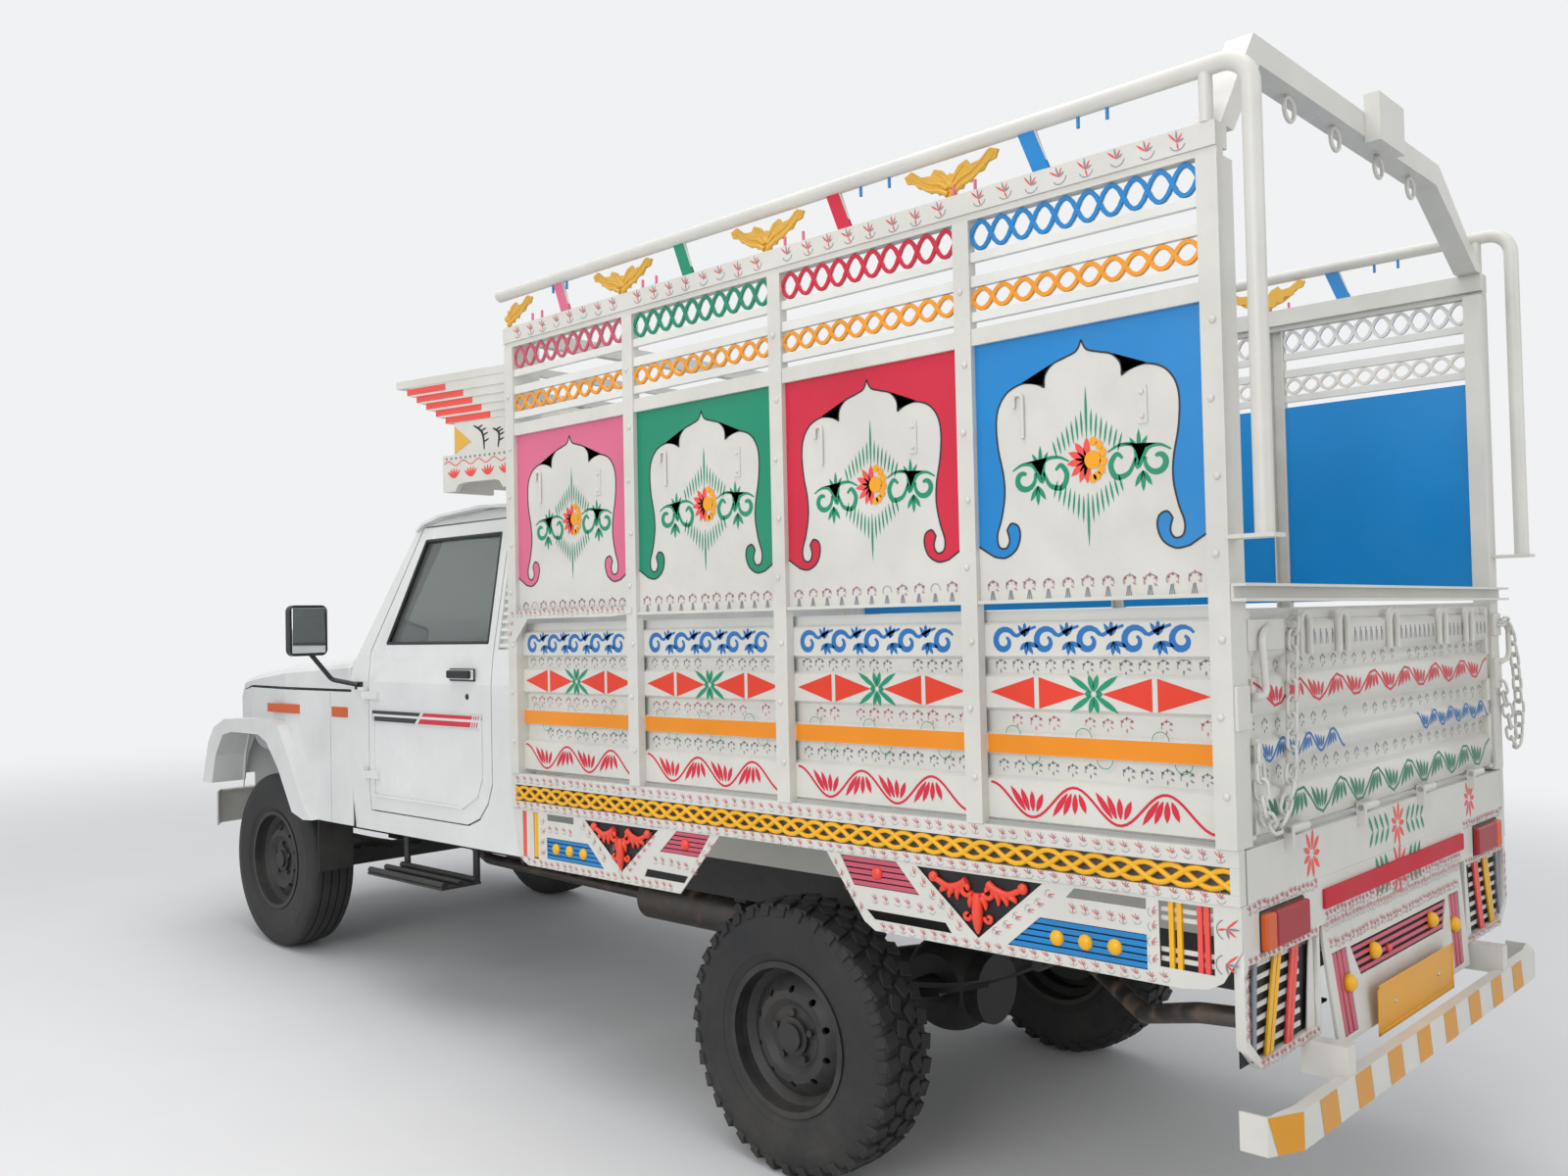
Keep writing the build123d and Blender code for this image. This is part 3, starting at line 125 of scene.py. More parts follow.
# %% [markdown]
# ## Materials
#
# Colours are written as sRGB hex, as read off a paint chart, and turned to linear light by one
# function. One more function adds any node with its settings and links.

# %% Colour and node helpers
finishes = {}


def linear(code):
    """An sRGB hex colour as linear light."""
    values = [int(code[i:i + 2], 16) / 255 for i in (1, 3, 5)]
    return [v / 12.92 if v <= 0.04045 else ((v + 0.055) / 1.055) ** 2.4 for v in values] + [1]


def add(tree, kind, inputs=None, **settings):
    """Adds a node of one kind, with its settings, and sets or links its inputs."""
    made = tree.nodes.new(kind)
    for key, value in settings.items():
        setattr(made, key, value)
    for key, value in (inputs or {}).items():
        if isinstance(value, bpy.types.NodeSocket):
            tree.links.new(value, made.inputs[key])
        else:
            made.inputs[key].default_value = value
    return made


def fresh(name):
    """A new finish, its node tree, its shader and its place in the level frame."""
    made = bpy.data.materials.new(name)
    made.use_nodes = True
    finishes[name] = made
    tree = made.node_tree
    place = add(tree, "ShaderNodeTexCoord")
    turn = Matrix.Rotation(-RAKE, 3, "X")
    level = add(tree, "ShaderNodeMapping", {
        "Vector": place.outputs["Object"],
        "Location": Vector((0, 0, AXLE_Z)) - turn @ Vector((0, SHIFT, AXLE_Z)),
        "Rotation": (-RAKE, 0, 0)})
    return tree, tree.nodes["Principled BSDF"], level.outputs["Vector"]


def wire(tree, shader, **outputs):
    """Links each named input of the shader to the socket given for it."""
    for name, socket in outputs.items():
        tree.links.new(socket, shader.inputs[name.replace("_", " ")])


# %% [markdown]
# Paint brushed or sprayed on sheet steel is never one flat colour. It is a little thinner and
# chalkier in places, dust settles on it in soft patches, and the brush leaves fine ridges. The
# same recipe, with its own colour, gloss and amount of dust, makes all the enamels.

# %% Enamel on sheet steel
def enamel(name, code, rough=0.32, dust=0.25, brush=0.0, coat=0.0):
    """Paint on steel: patchy tone, settled dust and a faint orange peel or brush ridges."""
    tree, shader, place = fresh(name)
    broad = add(tree, "ShaderNodeTexNoise", {"Vector": place, "Scale": 3.5, "Detail": 5.0})
    tone = add(tree, "ShaderNodeMapRange", {
        "Value": broad.outputs[0], 1: 0.35, 2: 0.65, 3: 0.90, 4: 1.0})
    base = add(tree, "ShaderNodeMix", {
        0: 1.0, 6: linear(code), 7: tone.outputs[0]}, data_type="RGBA", blend_type="MULTIPLY")
    patch = add(tree, "ShaderNodeTexNoise", {
        "Vector": place, "Scale": 1.7, "Detail": 8.0, "Roughness": 0.7})
    amount = add(tree, "ShaderNodeMapRange", {
        "Value": patch.outputs[0], 1: 0.45, 2: 0.75, 3: 0.0, 4: dust})
    colour = add(tree, "ShaderNodeMix", {
        0: amount.outputs[0], 6: base.outputs[2], 7: linear("#8F877A")}, data_type="RGBA")
    gloss = add(tree, "ShaderNodeMapRange", {
        "Value": broad.outputs[0], 1: 0.3, 2: 0.7, 3: rough * 0.8, 4: rough * 1.3})
    if brush:
        stretch = add(tree, "ShaderNodeMapping", {"Vector": place, "Scale": (300, 8, 300)})
        grain = add(tree, "ShaderNodeTexNoise", {
            "Vector": stretch.outputs[0], "Scale": 1.0, "Detail": 2.0})
    else:
        grain = add(tree, "ShaderNodeTexNoise", {"Vector": place, "Scale": 60.0, "Detail": 3.0})
    bump = add(tree, "ShaderNodeBump", {
        "Height": grain.outputs[0], "Strength": 0.12 + brush, "Distance": 0.0006})
    wire(tree, shader, Base_Color=colour.outputs[2], Roughness=gloss.outputs[0],
         Normal=bump.outputs[0])
    shader.inputs["IOR"].default_value = 1.5
    shader.inputs["Coat Weight"].default_value = coat


# %% The paints of the truck, each mixed once
# name, hex, roughness, dust, brush ridges, clear coat
for paint in (
        ("cab_white", "#E4E5E3", 0.22, 0.10, 0.0, 0.35),
        ("body_cream", "#DAD8D0", 0.34, 0.22, 0.05),
        ("lattice_white", "#E6E5DF", 0.32, 0.15), ("field_pink", "#DC6B8C", 0.38, 0.10, 0.25),
        ("field_green", "#048A68", 0.38, 0.08, 0.25), ("field_red", "#D01E3C", 0.38, 0.08, 0.25),
        ("field_blue", "#0B82C8", 0.38, 0.08, 0.25), ("outline_ink", "#23212B", 0.40, 0.05),
        ("leaf_green", "#0E8F68", 0.40, 0.08, 0.2), ("petal_red", "#EF5148", 0.40, 0.08, 0.2),
        ("petal_orange", "#F6A513", 0.40, 0.05, 0.2), ("vine_blue", "#1C6FB4", 0.40, 0.10, 0.2),
        ("diamond_red", "#E43A20", 0.38, 0.08, 0.2), ("stripe_orange", "#EE8E08", 0.36, 0.12, 0.2),
        ("wave_red", "#D5203A", 0.38, 0.10, 0.2), ("wave_green", "#1E7F5C", 0.42, 0.15, 0.1),
        ("strip_yellow", "#F5B610", 0.34, 0.12), ("lattice_orange", "#F39B1C", 0.34, 0.12),
        ("scroll_red", "#F0482F", 0.30, 0.10), ("gold", "#E5B143", 0.34, 0.15),
        ("stamp_grey", "#8B8C96", 0.50, 0.05), ("stamp_rose", "#C98A8C", 0.50, 0.05),
        ("bumper_amber", "#DD960C", 0.40, 0.30, 0.1), ("plate_amber", "#E7A109", 0.35, 0.20),
        ("slot_rose", "#C9566B", 0.40, 0.20, 0.1), ("decal_black", "#2A2D33", 0.30, 0.10),
        # the near-black sheet below is painted shade, set behind open cut-outs where there is only
        # shade
        ("grey_sheet", "#7E8183", 0.45, 0.35), ("dark_hole", "#15161A", 0.60, 0.15),
        ("chain_white", "#D9D8D2", 0.42, 0.30), ("panel_paint", "#DAD8D0", 0.34, 0.22, 0.05),
        # lamp plastic is glossy, but its moulded prisms scatter what it reflects
        ("lamp_red", "#A00F1C", 0.38, 0.04), ("reflector_red", "#C3122C", 0.60, 0.05),
        ("amber_lens", "#D4580C", 0.38, 0.04)):
    enamel(*paint)
print("paints mixed:", len(finishes))

# %% [markdown]
# The running gear is black chassis paint that has met the road. Grey dust clings to whatever
# faces down or sits low, so the dust is mixed in by a noise and by the height above the ground.

# %% Chassis black, tyre rubber and moulded plastic
def road_black(name, code, rough, dust_code, dust, grain, depth):
    """A black surface under road dust: paint, rubber or plastic by its numbers."""
    tree, shader, place = fresh(name)
    patch = add(tree, "ShaderNodeTexNoise", {
        "Vector": place, "Scale": 4.0, "Detail": 9.0, "Roughness": 0.7})
    height = add(tree, "ShaderNodeSeparateXYZ", {"Vector": place})
    low = add(tree, "ShaderNodeMapRange", {
        "Value": height.outputs["Z"], 1: 0.1, 2: 0.9, 3: 1.0, 4: 0.35})
    amount = add(tree, "ShaderNodeMapRange", {
        "Value": patch.outputs[0], 1: 0.38, 2: 0.72, 3: 0.0, 4: dust})
    both = add(tree, "ShaderNodeMath", {0: amount.outputs[0], 1: low.outputs[0]},
               operation="MULTIPLY")
    colour = add(tree, "ShaderNodeMix", {
        0: both.outputs[0], 6: linear(code), 7: linear(dust_code)}, data_type="RGBA")
    gloss = add(tree, "ShaderNodeMapRange", {
        "Value": both.outputs[0], 1: 0.0, 2: 0.5, 3: rough, 4: 0.85})
    fine = add(tree, "ShaderNodeTexNoise", {"Vector": place, "Scale": grain, "Detail": 2.0})
    bump = add(tree, "ShaderNodeBump", {
        "Height": fine.outputs[0], "Strength": 0.25, "Distance": depth})
    wire(tree, shader, Base_Color=colour.outputs[2], Roughness=gloss.outputs[0],
         Normal=bump.outputs[0])


for surface in (("chassis_paint", "#1B1C1E", 0.50, "#6A645C", 0.45, 90.0, 0.0008),
                ("tyre_rubber", "#1D1E20", 0.68, "#5B5750", 0.40, 160.0, 0.0005),
                ("cast_iron", "#26262A", 0.60, "#6E6255", 0.40, 220.0, 0.0010),
                ("black_plastic", "#17181B", 0.42, "#55534F", 0.12, 400.0, 0.0003),
                ("flap_rubber", "#1A1B1D", 0.60, "#625D55", 0.50, 120.0, 0.0004),
                ("dash_plastic", "#2B2D31", 0.55, "#55534F", 0.10, 500.0, 0.0004)):
    road_black(*surface)


# %% Bare and plated steel
def steel(name, code, rough, rust):
    """Bare metal with a brushed or plated grain and a little brown staining."""
    tree, shader, place = fresh(name)
    patch = add(tree, "ShaderNodeTexNoise", {"Vector": place, "Scale": 14.0, "Detail": 8.0})
    amount = add(tree, "ShaderNodeMapRange", {
        "Value": patch.outputs[0], 1: 0.5, 2: 0.75, 3: 0.0, 4: rust})
    colour = add(tree, "ShaderNodeMix", {
        0: amount.outputs[0], 6: linear(code), 7: linear("#7A5A40")}, data_type="RGBA")
    gloss = add(tree, "ShaderNodeMapRange", {
        "Value": patch.outputs[0], 1: 0.3, 2: 0.7, 3: rough * 0.7, 4: rough * 1.4})
    metal = add(tree, "ShaderNodeMapRange", {
        "Value": amount.outputs[0], 1: 0.0, 2: 0.6, 3: 1.0, 4: 0.1})
    wire(tree, shader, Base_Color=colour.outputs[2], Roughness=gloss.outputs[0],
         Metallic=metal.outputs[0])


steel("zinc_steel", "#B9BABB", 0.38, 0.35)
steel("exhaust_steel", "#5E5A57", 0.50, 0.8)
steel("mirror_silver", "#C9CDD0", 0.04, 0.0)

# %% [markdown]
# Window glass is thin and slightly grey. Transmission lets the seat show through, and a faint
# film of dust keeps it from looking like an empty hole.

# %% Glass and lamp glass
def clear(name, code, rough, weight, ior):
    """Glass with a thin uneven film on it."""
    tree, shader, place = fresh(name)
    patch = add(tree, "ShaderNodeTexNoise", {"Vector": place, "Scale": 9.0, "Detail": 7.0})
    gloss = add(tree, "ShaderNodeMapRange", {
        "Value": patch.outputs[0], 1: 0.35, 2: 0.75, 3: rough, 4: rough + 0.10})
    tint = add(tree, "ShaderNodeMix", {
        0: gloss.outputs[0], 6: linear(code), 7: linear("#BDB8AC")}, data_type="RGBA")
    wire(tree, shader, Base_Color=tint.outputs[2], Roughness=gloss.outputs[0])
    shader.inputs["Transmission Weight"].default_value = weight
    shader.inputs["IOR"].default_value = ior


clear("window_glass", "#A9B2AF", 0.02, 0.85, 1.45)
clear("lamp_lens", "#E8ECEC", 0.05, 0.75, 1.49)

# %% [markdown]
# The bench seat is covered in a woven cloth of dark grey yarn. Two crossed wave textures, each
# as fine as the render can show, stand for the weave; the real yarn is about half a millimetre.

# %% Woven seat cloth
tree, shader, place = fresh("seat_cloth")
warp, weft = (add(tree, "ShaderNodeTexWave", {"Vector": place, "Scale": 90.0, "Distortion": 1.5},
                  bands_direction=way) for way in "XY")
weave = add(tree, "ShaderNodeMath", {0: warp.outputs[1], 1: weft.outputs[1]}, operation="MULTIPLY")
shade = add(tree, "ShaderNodeMix", {
    0: weave.outputs[0], 6: linear("#2A2B30"), 7: linear("#4A4C54")}, data_type="RGBA")
bump = add(tree, "ShaderNodeBump", {
    "Height": weave.outputs[0], "Strength": 0.4, "Distance": 0.0008})
wire(tree, shader, Base_Color=shade.outputs[2], Normal=bump.outputs[0])
shader.inputs["Roughness"].default_value = 0.85
shader.inputs["Sheen Weight"].default_value = 0.3

# %% [markdown]
# The upper sheets are bright blue inside. One finish serves both faces: it turns to blue by
# its distance from the truck's middle.

# %% Cream outside, blue inside
tree = finishes["panel_paint"].node_tree
shader = tree.nodes["Principled BSDF"]
place = add(tree, "ShaderNodeTexCoord")
axes = add(tree, "ShaderNodeSeparateXYZ", {"Vector": place.outputs["Object"]})
across = add(tree, "ShaderNodeMath", {0: axes.outputs["X"]}, operation="ABSOLUTE")
inner = add(tree, "ShaderNodeMath", {0: across.outputs[0], 1: 0.8585}, operation="LESS_THAN")
cloud = add(tree, "ShaderNodeTexNoise", {
    "Vector": place.outputs["Object"], "Scale": 2.5, "Detail": 6.0})
blue = add(tree, "ShaderNodeMix", {
    0: cloud.outputs[0], 6: linear("#0A93DC"), 7: linear("#0879BC")}, data_type="RGBA")
cream = shader.inputs["Base Color"].links[0].from_socket
colour = add(tree, "ShaderNodeMix", {0: inner.outputs[0], 6: cream, 7: blue.outputs[2]},
             data_type="RGBA")
wire(tree, shader, Base_Color=colour.outputs[2])

# %% Give every solid its finish
def give(obj, finish):
    """Puts one finish, by its name, on a whole object."""
    obj.data.materials.clear()
    obj.data.materials.append(finishes[finish])
    return obj


# finish: the nodes that have it
for finish, names in (
        ("cab_white", "cab_shell door_left door_right bonnet front_wings front_fascia"),
        ("body_cream", "side_posts top_rails pipe_rails rear_hoop rear_bar front_wall "
         "base_rails cargo_deck side_skirts rear_panel rear_grilles rear_bumper front_bumper "
         "headboard crown side_boards tailgate"),
        ("panel_paint", "side_panels"), ("lattice_white", "side_lattices"),
        ("gold", "post_ornaments"),
        ("chassis_paint", "chassis_frame leaf_springs front_axle rear_axle propshaft fuel_tank "
         "footsteps front_rim_left front_rim_right rear_rim_left rear_rim_right"),
        ("cast_iron", "engine_block knuckle_left knuckle_right"), ("exhaust_steel", "exhaust"),
        ("tyre_rubber", "front_tyre_left front_tyre_right rear_tyre_left rear_tyre_right"),
        ("flap_rubber", "mudflaps"), ("black_plastic", "mirrors steering_wheel"),
        ("dash_plastic", "dashboard"), ("seat_cloth", "seat"),
        ("window_glass", "cab_glass door_glass_left door_glass_right"),
        ("lamp_lens", "headlamps"), ("lamp_red", "tail_lamps")):
    for name in names.split():
        give(nodes[name], finish)
print("solids without a finish:", [n for n, obj in nodes.items() if not obj.data.materials])

# %% [markdown]
# ## Painted and cut shapes
#
# Most of the truck's look is flat: painted motifs and cut sheet. Outlines are drawn in (u, v)
# as seen from outside, u to the right and v up, and a matrix stands them on a side of the
# truck. A filled and extruded flat curve makes a cut sheet with its holes. Brushed paint is
# one face for each stroke, half a millimetre off the sheet below it, and strokes may cross, as
# they do on the real boards.

# %% Tools that every piece needs
LEFT = Matrix(((0, 0, 1, 0), (1, 0, 0, 0), (0, 1, 0, 0), (0, 0, 0, 1)))
REAR = Matrix(((-1, 0, 0, 0), (0, 0, 1, 0), (0, 1, 0, 0), (0, 0, 0, 1)))
FRONT = Matrix(((1, 0, 0, 0), (0, 0, -1, 0), (0, 1, 0, 0), (0, 0, 0, 1)))
FILM = 0.0005


def pick(*objs):
    """Selects these objects alone and makes the first one active."""
    bpy.ops.object.select_all(action="DESELECT")
    for obj in objs:
        obj.select_set(True)
    bpy.context.view_layer.objects.active = objs[0]


def placed(data):
    """A new object in the scene, selected."""
    obj = bpy.data.objects.new("shape", data)
    bpy.context.scene.collection.objects.link(obj)
    pick(obj)
    return obj


def double(obj, move):
    """A copy of an object, moved by a matrix."""
    copy = obj.copy()
    copy.data = obj.data.copy()
    bpy.context.scene.collection.objects.link(copy)
    copy.data.transform(move)
    return copy


def joined(*objs):
    """Several objects as one piece, each keeping its finish."""
    pick(*objs)
    if len(objs) > 1:
        bpy.ops.object.join()
    return bpy.context.object


# %% Name a finished piece, and mirror the left-hand ones
def settle(obj, name, body="truck", stands_for=()):
    """Tips a finished piece with the truck, names it and lets it ride on its body."""
    obj.data.transform(TIP)
    obj.name = name
    obj.data.name = name
    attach(obj, body)
    if stands_for:
        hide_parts(*stands_for)
    print(f"{name}: {len(obj.data.polygons)} faces")


def both(objs, name, body="truck", stands_for=()):
    """Settles a left-hand piece and its mirror image; % stands for the word left or right."""
    left = joined(*objs)
    right = double(left, Matrix.Scale(-1, 4, (1, 0, 0)))
    right.data.flip_normals()
    for obj, word in ((left, "left"), (right, "right")):
        settle(obj, f"{name}_{word}", body.replace("%", word), stands_for)


# %% Round bar, cut sheet and brushed paint
def drawn(line, r, smooth_by=None, closed=False, resolution=3, radii=None):
    """Round bar along a line of points in space, as a mesh: a curve with a bevel, converted."""
    curve = bpy.data.curves.new("shape", "CURVE")
    curve.dimensions = "3D"
    curve.bevel_depth = r
    curve.bevel_resolution = resolution
    curve.use_fill_caps = not closed
    spline = curve.splines.new("POLY")
    spline.points.add(len(line) - 1)
    for k, place in enumerate(line):
        spline.points[k].co = (*place, 1)
        if radii:
            spline.points[k].radius = radii[k]
    spline.use_cyclic_u = closed
    placed(curve)
    bpy.ops.object.convert(target="MESH")
    if smooth_by:
        bpy.ops.object.shade_smooth_by_angle(angle=math.radians(smooth_by))
    else:
        bpy.ops.object.shade_smooth()
    return bpy.context.object


def flat(loops, finish, stand, out, thick=FILM, bevel=0.0):
    """A filled sheet from its outlines, stood on a side of the truck at its distance out."""
    curve = bpy.data.curves.new("shape", "CURVE")
    curve.dimensions = "2D"
    curve.fill_mode = "BOTH"
    curve.extrude = thick / 2 - bevel
    curve.bevel_depth = bevel
    # the bevel would push the outline out by its own width
    curve.offset = -bevel
    curve.bevel_resolution = 1 if bevel else 0
    for loop in loops:
        spline = curve.splines.new("POLY")
        spline.points.add(len(loop) - 1)
        for point, (u, v) in zip(spline.points, loop):
            point.co = (u, v, 0, 1)
        spline.use_cyclic_u = True
    placed(curve)
    bpy.ops.object.convert(target="MESH")
    obj = bpy.context.object
    obj.data.transform(stand @ Matrix.Translation((0, 0, out + thick / 2)))
    return give(obj, finish)


def film(loops, finish, stand, out):
    """Brushed paint: one face for each outline, standing just off the sheet below it."""
    corners, faces = [], []
    for loop in loops:
        faces.append(range(len(corners), len(corners) + len(loop)))
        corners += [(u, v, 0) for u, v in loop]
    mesh = bpy.data.meshes.new("shape")
    mesh.from_pydata(corners, [], faces)
    obj = placed(mesh)
    bpy.ops.object.mode_set(mode="EDIT")
    bpy.ops.mesh.select_all(action="SELECT")
    bpy.ops.mesh.dissolve_degenerate(threshold=1e-6)
    bpy.ops.object.mode_set(mode="OBJECT")
    for face in mesh.polygons:
        if face.normal.z < 0:
            face.flip()
    mesh.transform(stand @ Matrix.Translation((0, 0, out + FILM)))
    return give(obj, finish)


# %% Small outlines, in metres
def around(u, v, r, turn):
    """The point at a distance from (u, v) in a direction, in degrees."""
    return u + r * math.cos(math.radians(turn)), v + r * math.sin(math.radians(turn))


def disc(u, v, r, n=16):
    """A round spot."""
    return [around(u, v, r, 360 * k / n) for k in range(n)]


def block(u0, u1, v0, v1):
    """A rectangle."""
    return [(u0, v0), (u1, v0), (u1, v1), (u0, v1)]


def about(u, v, side, points):
    """Points measured from (u, v), to the left when side is -1."""
    return [(u + side * a, v + b) for a, b in points]


def petal(u, v, length, width, angle):
    """A leaf or petal that starts at (u, v) and points along its angle in degrees."""
    c, s = math.cos(math.radians(angle)), math.sin(math.radians(angle))
    half = [(0, 0.18), (0.25, 0.8), (0.5, 1.0), (0.75, 0.75), (1.0, 0.0)]
    side = [(a * length, b * width / 2) for a, b in half]
    ring = side + [(a, -b) for a, b in reversed(side[:-1])]
    return [(u + a * c - b * s, v + a * s + b * c) for a, b in ring]


def sprig(u, v, width, leaves):
    """Petals from one foot, each (direction, length)."""
    return [petal(u, v, reach, width, turn) for turn, reach in leaves]


# %% Strokes and curls
def ribbon(points, widths):
    """A stroke along its points, with one width or a width at each."""
    if isinstance(widths, float):
        widths = [widths] * len(points)
    left, right_side = [], []
    for k, (u, v) in enumerate(points):
        a = points[max(k - 1, 0)]
        b = points[min(k + 1, len(points) - 1)]
        du, dv = b[0] - a[0], b[1] - a[1]
        size = math.hypot(du, dv) or 1.0
        w = widths[k] / 2
        left.append((u - dv / size * w, v + du / size * w))
        right_side.append((u + dv / size * w, v - du / size * w))
    return left + right_side[::-1]


def spiral(u, v, r0, r1, a0, a1, n=18):
    """Points of a curl about (u, v), from radius r0 at angle a0 to r1 at a1, in degrees."""
    return [around(u, v, r0 + (r1 - r0) * k / n, a0 + (a1 - a0) * k / n) for k in range(n + 1)]


def brushed(line, wide, thin=0.25):
    """A brush stroke along a line that swells in its middle."""
    n = len(line)
    return ribbon(line, [wide * (thin + (1 - thin) * math.sin(math.pi * (k + 0.5) / n))
                         for k in range(n)])


def smooth(points, steps=5):
    """Rounds an open row of points, flat or in space, into a Catmull-Rom curve."""
    out = []
    rows = [points[0]] + list(points) + [points[-1]]
    for k in range(1, len(rows) - 2):
        for s in range(steps):
            t = s / steps
            out.append(tuple(0.5 * (2 * p1 + (p2 - p0) * t + (2 * p0 - 5 * p1 + 4 * p2 - p3) * t * t
                                    + (3 * p1 - p0 - 3 * p2 + p3) * t ** 3)
                             for p0, p1, p2, p3 in zip(*rows[k - 1:k + 3])))
    out.append(tuple(points[-1]))
    return out


# %% [markdown]
# ## The corrugated side boards
#
# Each bay of the lower board carries five painted bands between rows of little stamped marks:
# a blue vine, pairs of red diamonds with a leaf star between, an orange stripe and a red wave
# with comb strokes. Each motif is drawn once and repeated along the bay.

# %% The board's motifs
def vine(u0, u1, low, high, count=5):
    """A row of curls that run into each other, with sprigs above and below."""
    loops = []
    pitch = (u1 - u0) / count
    mid = (low + high) / 2
    for k in range(count):
        u = u0 + pitch * (k + 0.42)
        line = spiral(u, mid - 0.002, 0.010, 0.030, 60, -330, 18)
        if k < count - 1:
            line += [(u + 0.034, mid + 0.010), (u + 0.058, mid + 0.022),
                     (u + pitch * 0.78, mid + 0.030)]
        loops.append(brushed(line, 0.0150, 0.35))
        if k < count - 1:
            loops += sprig(u + pitch * 0.50, mid + 0.008, 0.010,
                           ((58, 0.030), (88, 0.036), (122, 0.032)))
            loops += sprig(u + pitch * 0.55, mid - 0.004, 0.011,
                           ((-60, 0.032), (-95, 0.030), (-135, 0.026), (-20, 0.034)))
    return [[(a, min(max(b, low - 0.002), high + 0.002)) for a, b in loop] for loop in loops]


def diamonds(u0, u1, low, high):
    """Four red triangles in two pairs, split by white bars."""
    mid = (low + high) / 2
    middle = (u0 + u1) / 2
    loops = []
    for a, b in ((u0 + 0.004, middle - 0.020), (middle + 0.020, u1 - 0.004)):
        c = (a + b) / 2
        loops.append([(a, mid), (c - 0.006, low), (c - 0.006, high)])
        loops.append([(b, mid), (c + 0.006, high), (c + 0.006, low)])
    return loops


def leaf_star(u, v):
    """The green star of leaves between two diamonds."""
    return [petal(*around(u, v, 0.006, turn), reach, 0.013, turn) for turn, reach in (
        (0, 0.016), (180, 0.016), (34, 0.066), (146, 0.066), (214, 0.066), (326, 0.066),
        (76, 0.038), (104, 0.038), (256, 0.038), (284, 0.038))]


# %% The wave, and the row of stamped flowers
def wave(u0, u1, low, high, waves=2.5):
    """A wavy line with comb strokes filling each hollow."""
    mid = (low + high) / 2
    rise = (high - low) / 2 - 0.008
    steps = 46
    loops = [ribbon([(u0 + (u1 - u0) * k / steps,
                      mid + rise * math.cos(2 * math.pi * waves * k / steps))
                     for k in range(steps + 1)], 0.0060)]
    half = (u1 - u0) / waves / 2
    for k in range(1, int(waves * 2)):
        # a hand of strokes spreads from the bottom of each hollow, or hangs under each crest
        u, way = u0 + half * k, 1 if k % 2 else -1
        for j in range(4):
            foot = (u + half * (0.09 * j - 0.16), mid - way * rise * 0.62)
            tip = (u + half * (0.26 * j - 0.52), mid + way * rise * (0.86 - 0.12 * j))
            loops.append(petal(*foot, math.dist(foot, tip), half * 0.135,
                               math.degrees(math.atan2(tip[1] - foot[1], tip[0] - foot[0]))))
    return loops


def stamped_row(u0, u1, v, size, pitch, seed):
    """A row of stamped flowers, a ring of strokes over a stalk, none quite like the last."""
    dice = random.Random(seed)
    loops = []
    count = max(int((u1 - u0) / pitch), 1)
    step = (u1 - u0) / count
    for k in range(count):
        if dice.random() < 0.93:
            u = u0 + step * (k + 0.5) + dice.uniform(-0.003, 0.003)
            w = v + dice.uniform(-0.002, 0.002)
            r = size * dice.uniform(0.85, 1.1)
            loops += [petal(*around(u, w, r * 0.22, turn), r * 0.30, r * 0.13, turn)
                      for turn in range(150, -91, -60)]
            loops.append(ribbon(spiral(u, w - r * 0.05, r * 0.36, r * 0.46, 200, 20, 7), r * 0.07))
    return loops


# %% Paint the side boards
paint = []
for bay, (y0, y1) in enumerate(BAYS):
    a, b = y0 + 0.008, y1 - 0.008
    paint += [film(vine(a, b, 1.402, 1.476), "vine_blue", LEFT, PROUD_X),
              film(diamonds(a, b, 1.288, 1.358), "diamond_red", LEFT, PROUD_X),
              film(leaf_star((a + b) / 2, 1.323), "leaf_green", LEFT, PROUD_X + FILM),
              film([block(a - 0.006, b + 0.006, 1.186, 1.228)], "stripe_orange", LEFT, PROUD_X),
              film(wave(a, b, 1.040, 1.128), "wave_red", LEFT, PROUD_X)]
    for row, (v, tint) in enumerate(((1.3815, "stamp_grey"), (1.2575, "stamp_rose"),
                                     (1.1565, "stamp_grey"))):
        paint.append(film(stamped_row(a, b, v, 0.034, 0.042, bay * 7 + row), tint, LEFT, DEEP_X))
    paint.append(film([ribbon(spiral(a + (b - a) * (k + 0.35) / 3 + shift, v, 0.019, 0.019, turn,
                                     turn + 180, 8), 0.0018)
                       for k in range(3)
                       for v, turn, shift in ((1.184, 180, 0.05), (1.230, 0, 0.0))],
                      "leaf_green", LEFT, PROUD_X + FILM))
both(paint, "board_paint")

# %% [markdown]
# ## The painted arches
#
# The sheet in the upper half of each bay carries the truck's best painting. A field of strong
# colour hangs from the top like a curtain round a white cusped arch with curled feet. In it
# stand a two-coloured flower between two pairs of scrolls, with green rays above and below.
# One half of the arch is a row of points, rounded, mirrored and closed to make the whole.

# %% Draw one bay's arch
# (u from the middle, v): from the tip down one side to the end of the curled foot
TIP_TO_CUSP = [(0.0, 2.082), (0.012, 2.060), (0.040, 2.050), (0.072, 2.040), (0.092, 2.018),
               (0.094, 1.992)]
SHOULDER = [(0.094, 1.992), (0.118, 2.004), (0.152, 2.008), (0.190, 1.994), (0.214, 1.964),
            (0.222, 1.924), (0.218, 1.868), (0.206, 1.810), (0.204, 1.762), (0.214, 1.712),
            (0.226, 1.676), (0.222, 1.650), (0.204, 1.645), (0.194, 1.662), (0.200, 1.686)]
FOOT = [(0.200, 1.686), (0.188, 1.700), (0.170, 1.692), (0.166, 1.668), (0.178, 1.640),
        (0.206, 1.624), (0.236, 1.628)]
CURTAIN_FOOT, CURTAIN_TOP = 1.652, 2.113
arch_edge = smooth(TIP_TO_CUSP) + smooth(SHOULDER)[1:] + smooth(FOOT)[1:]


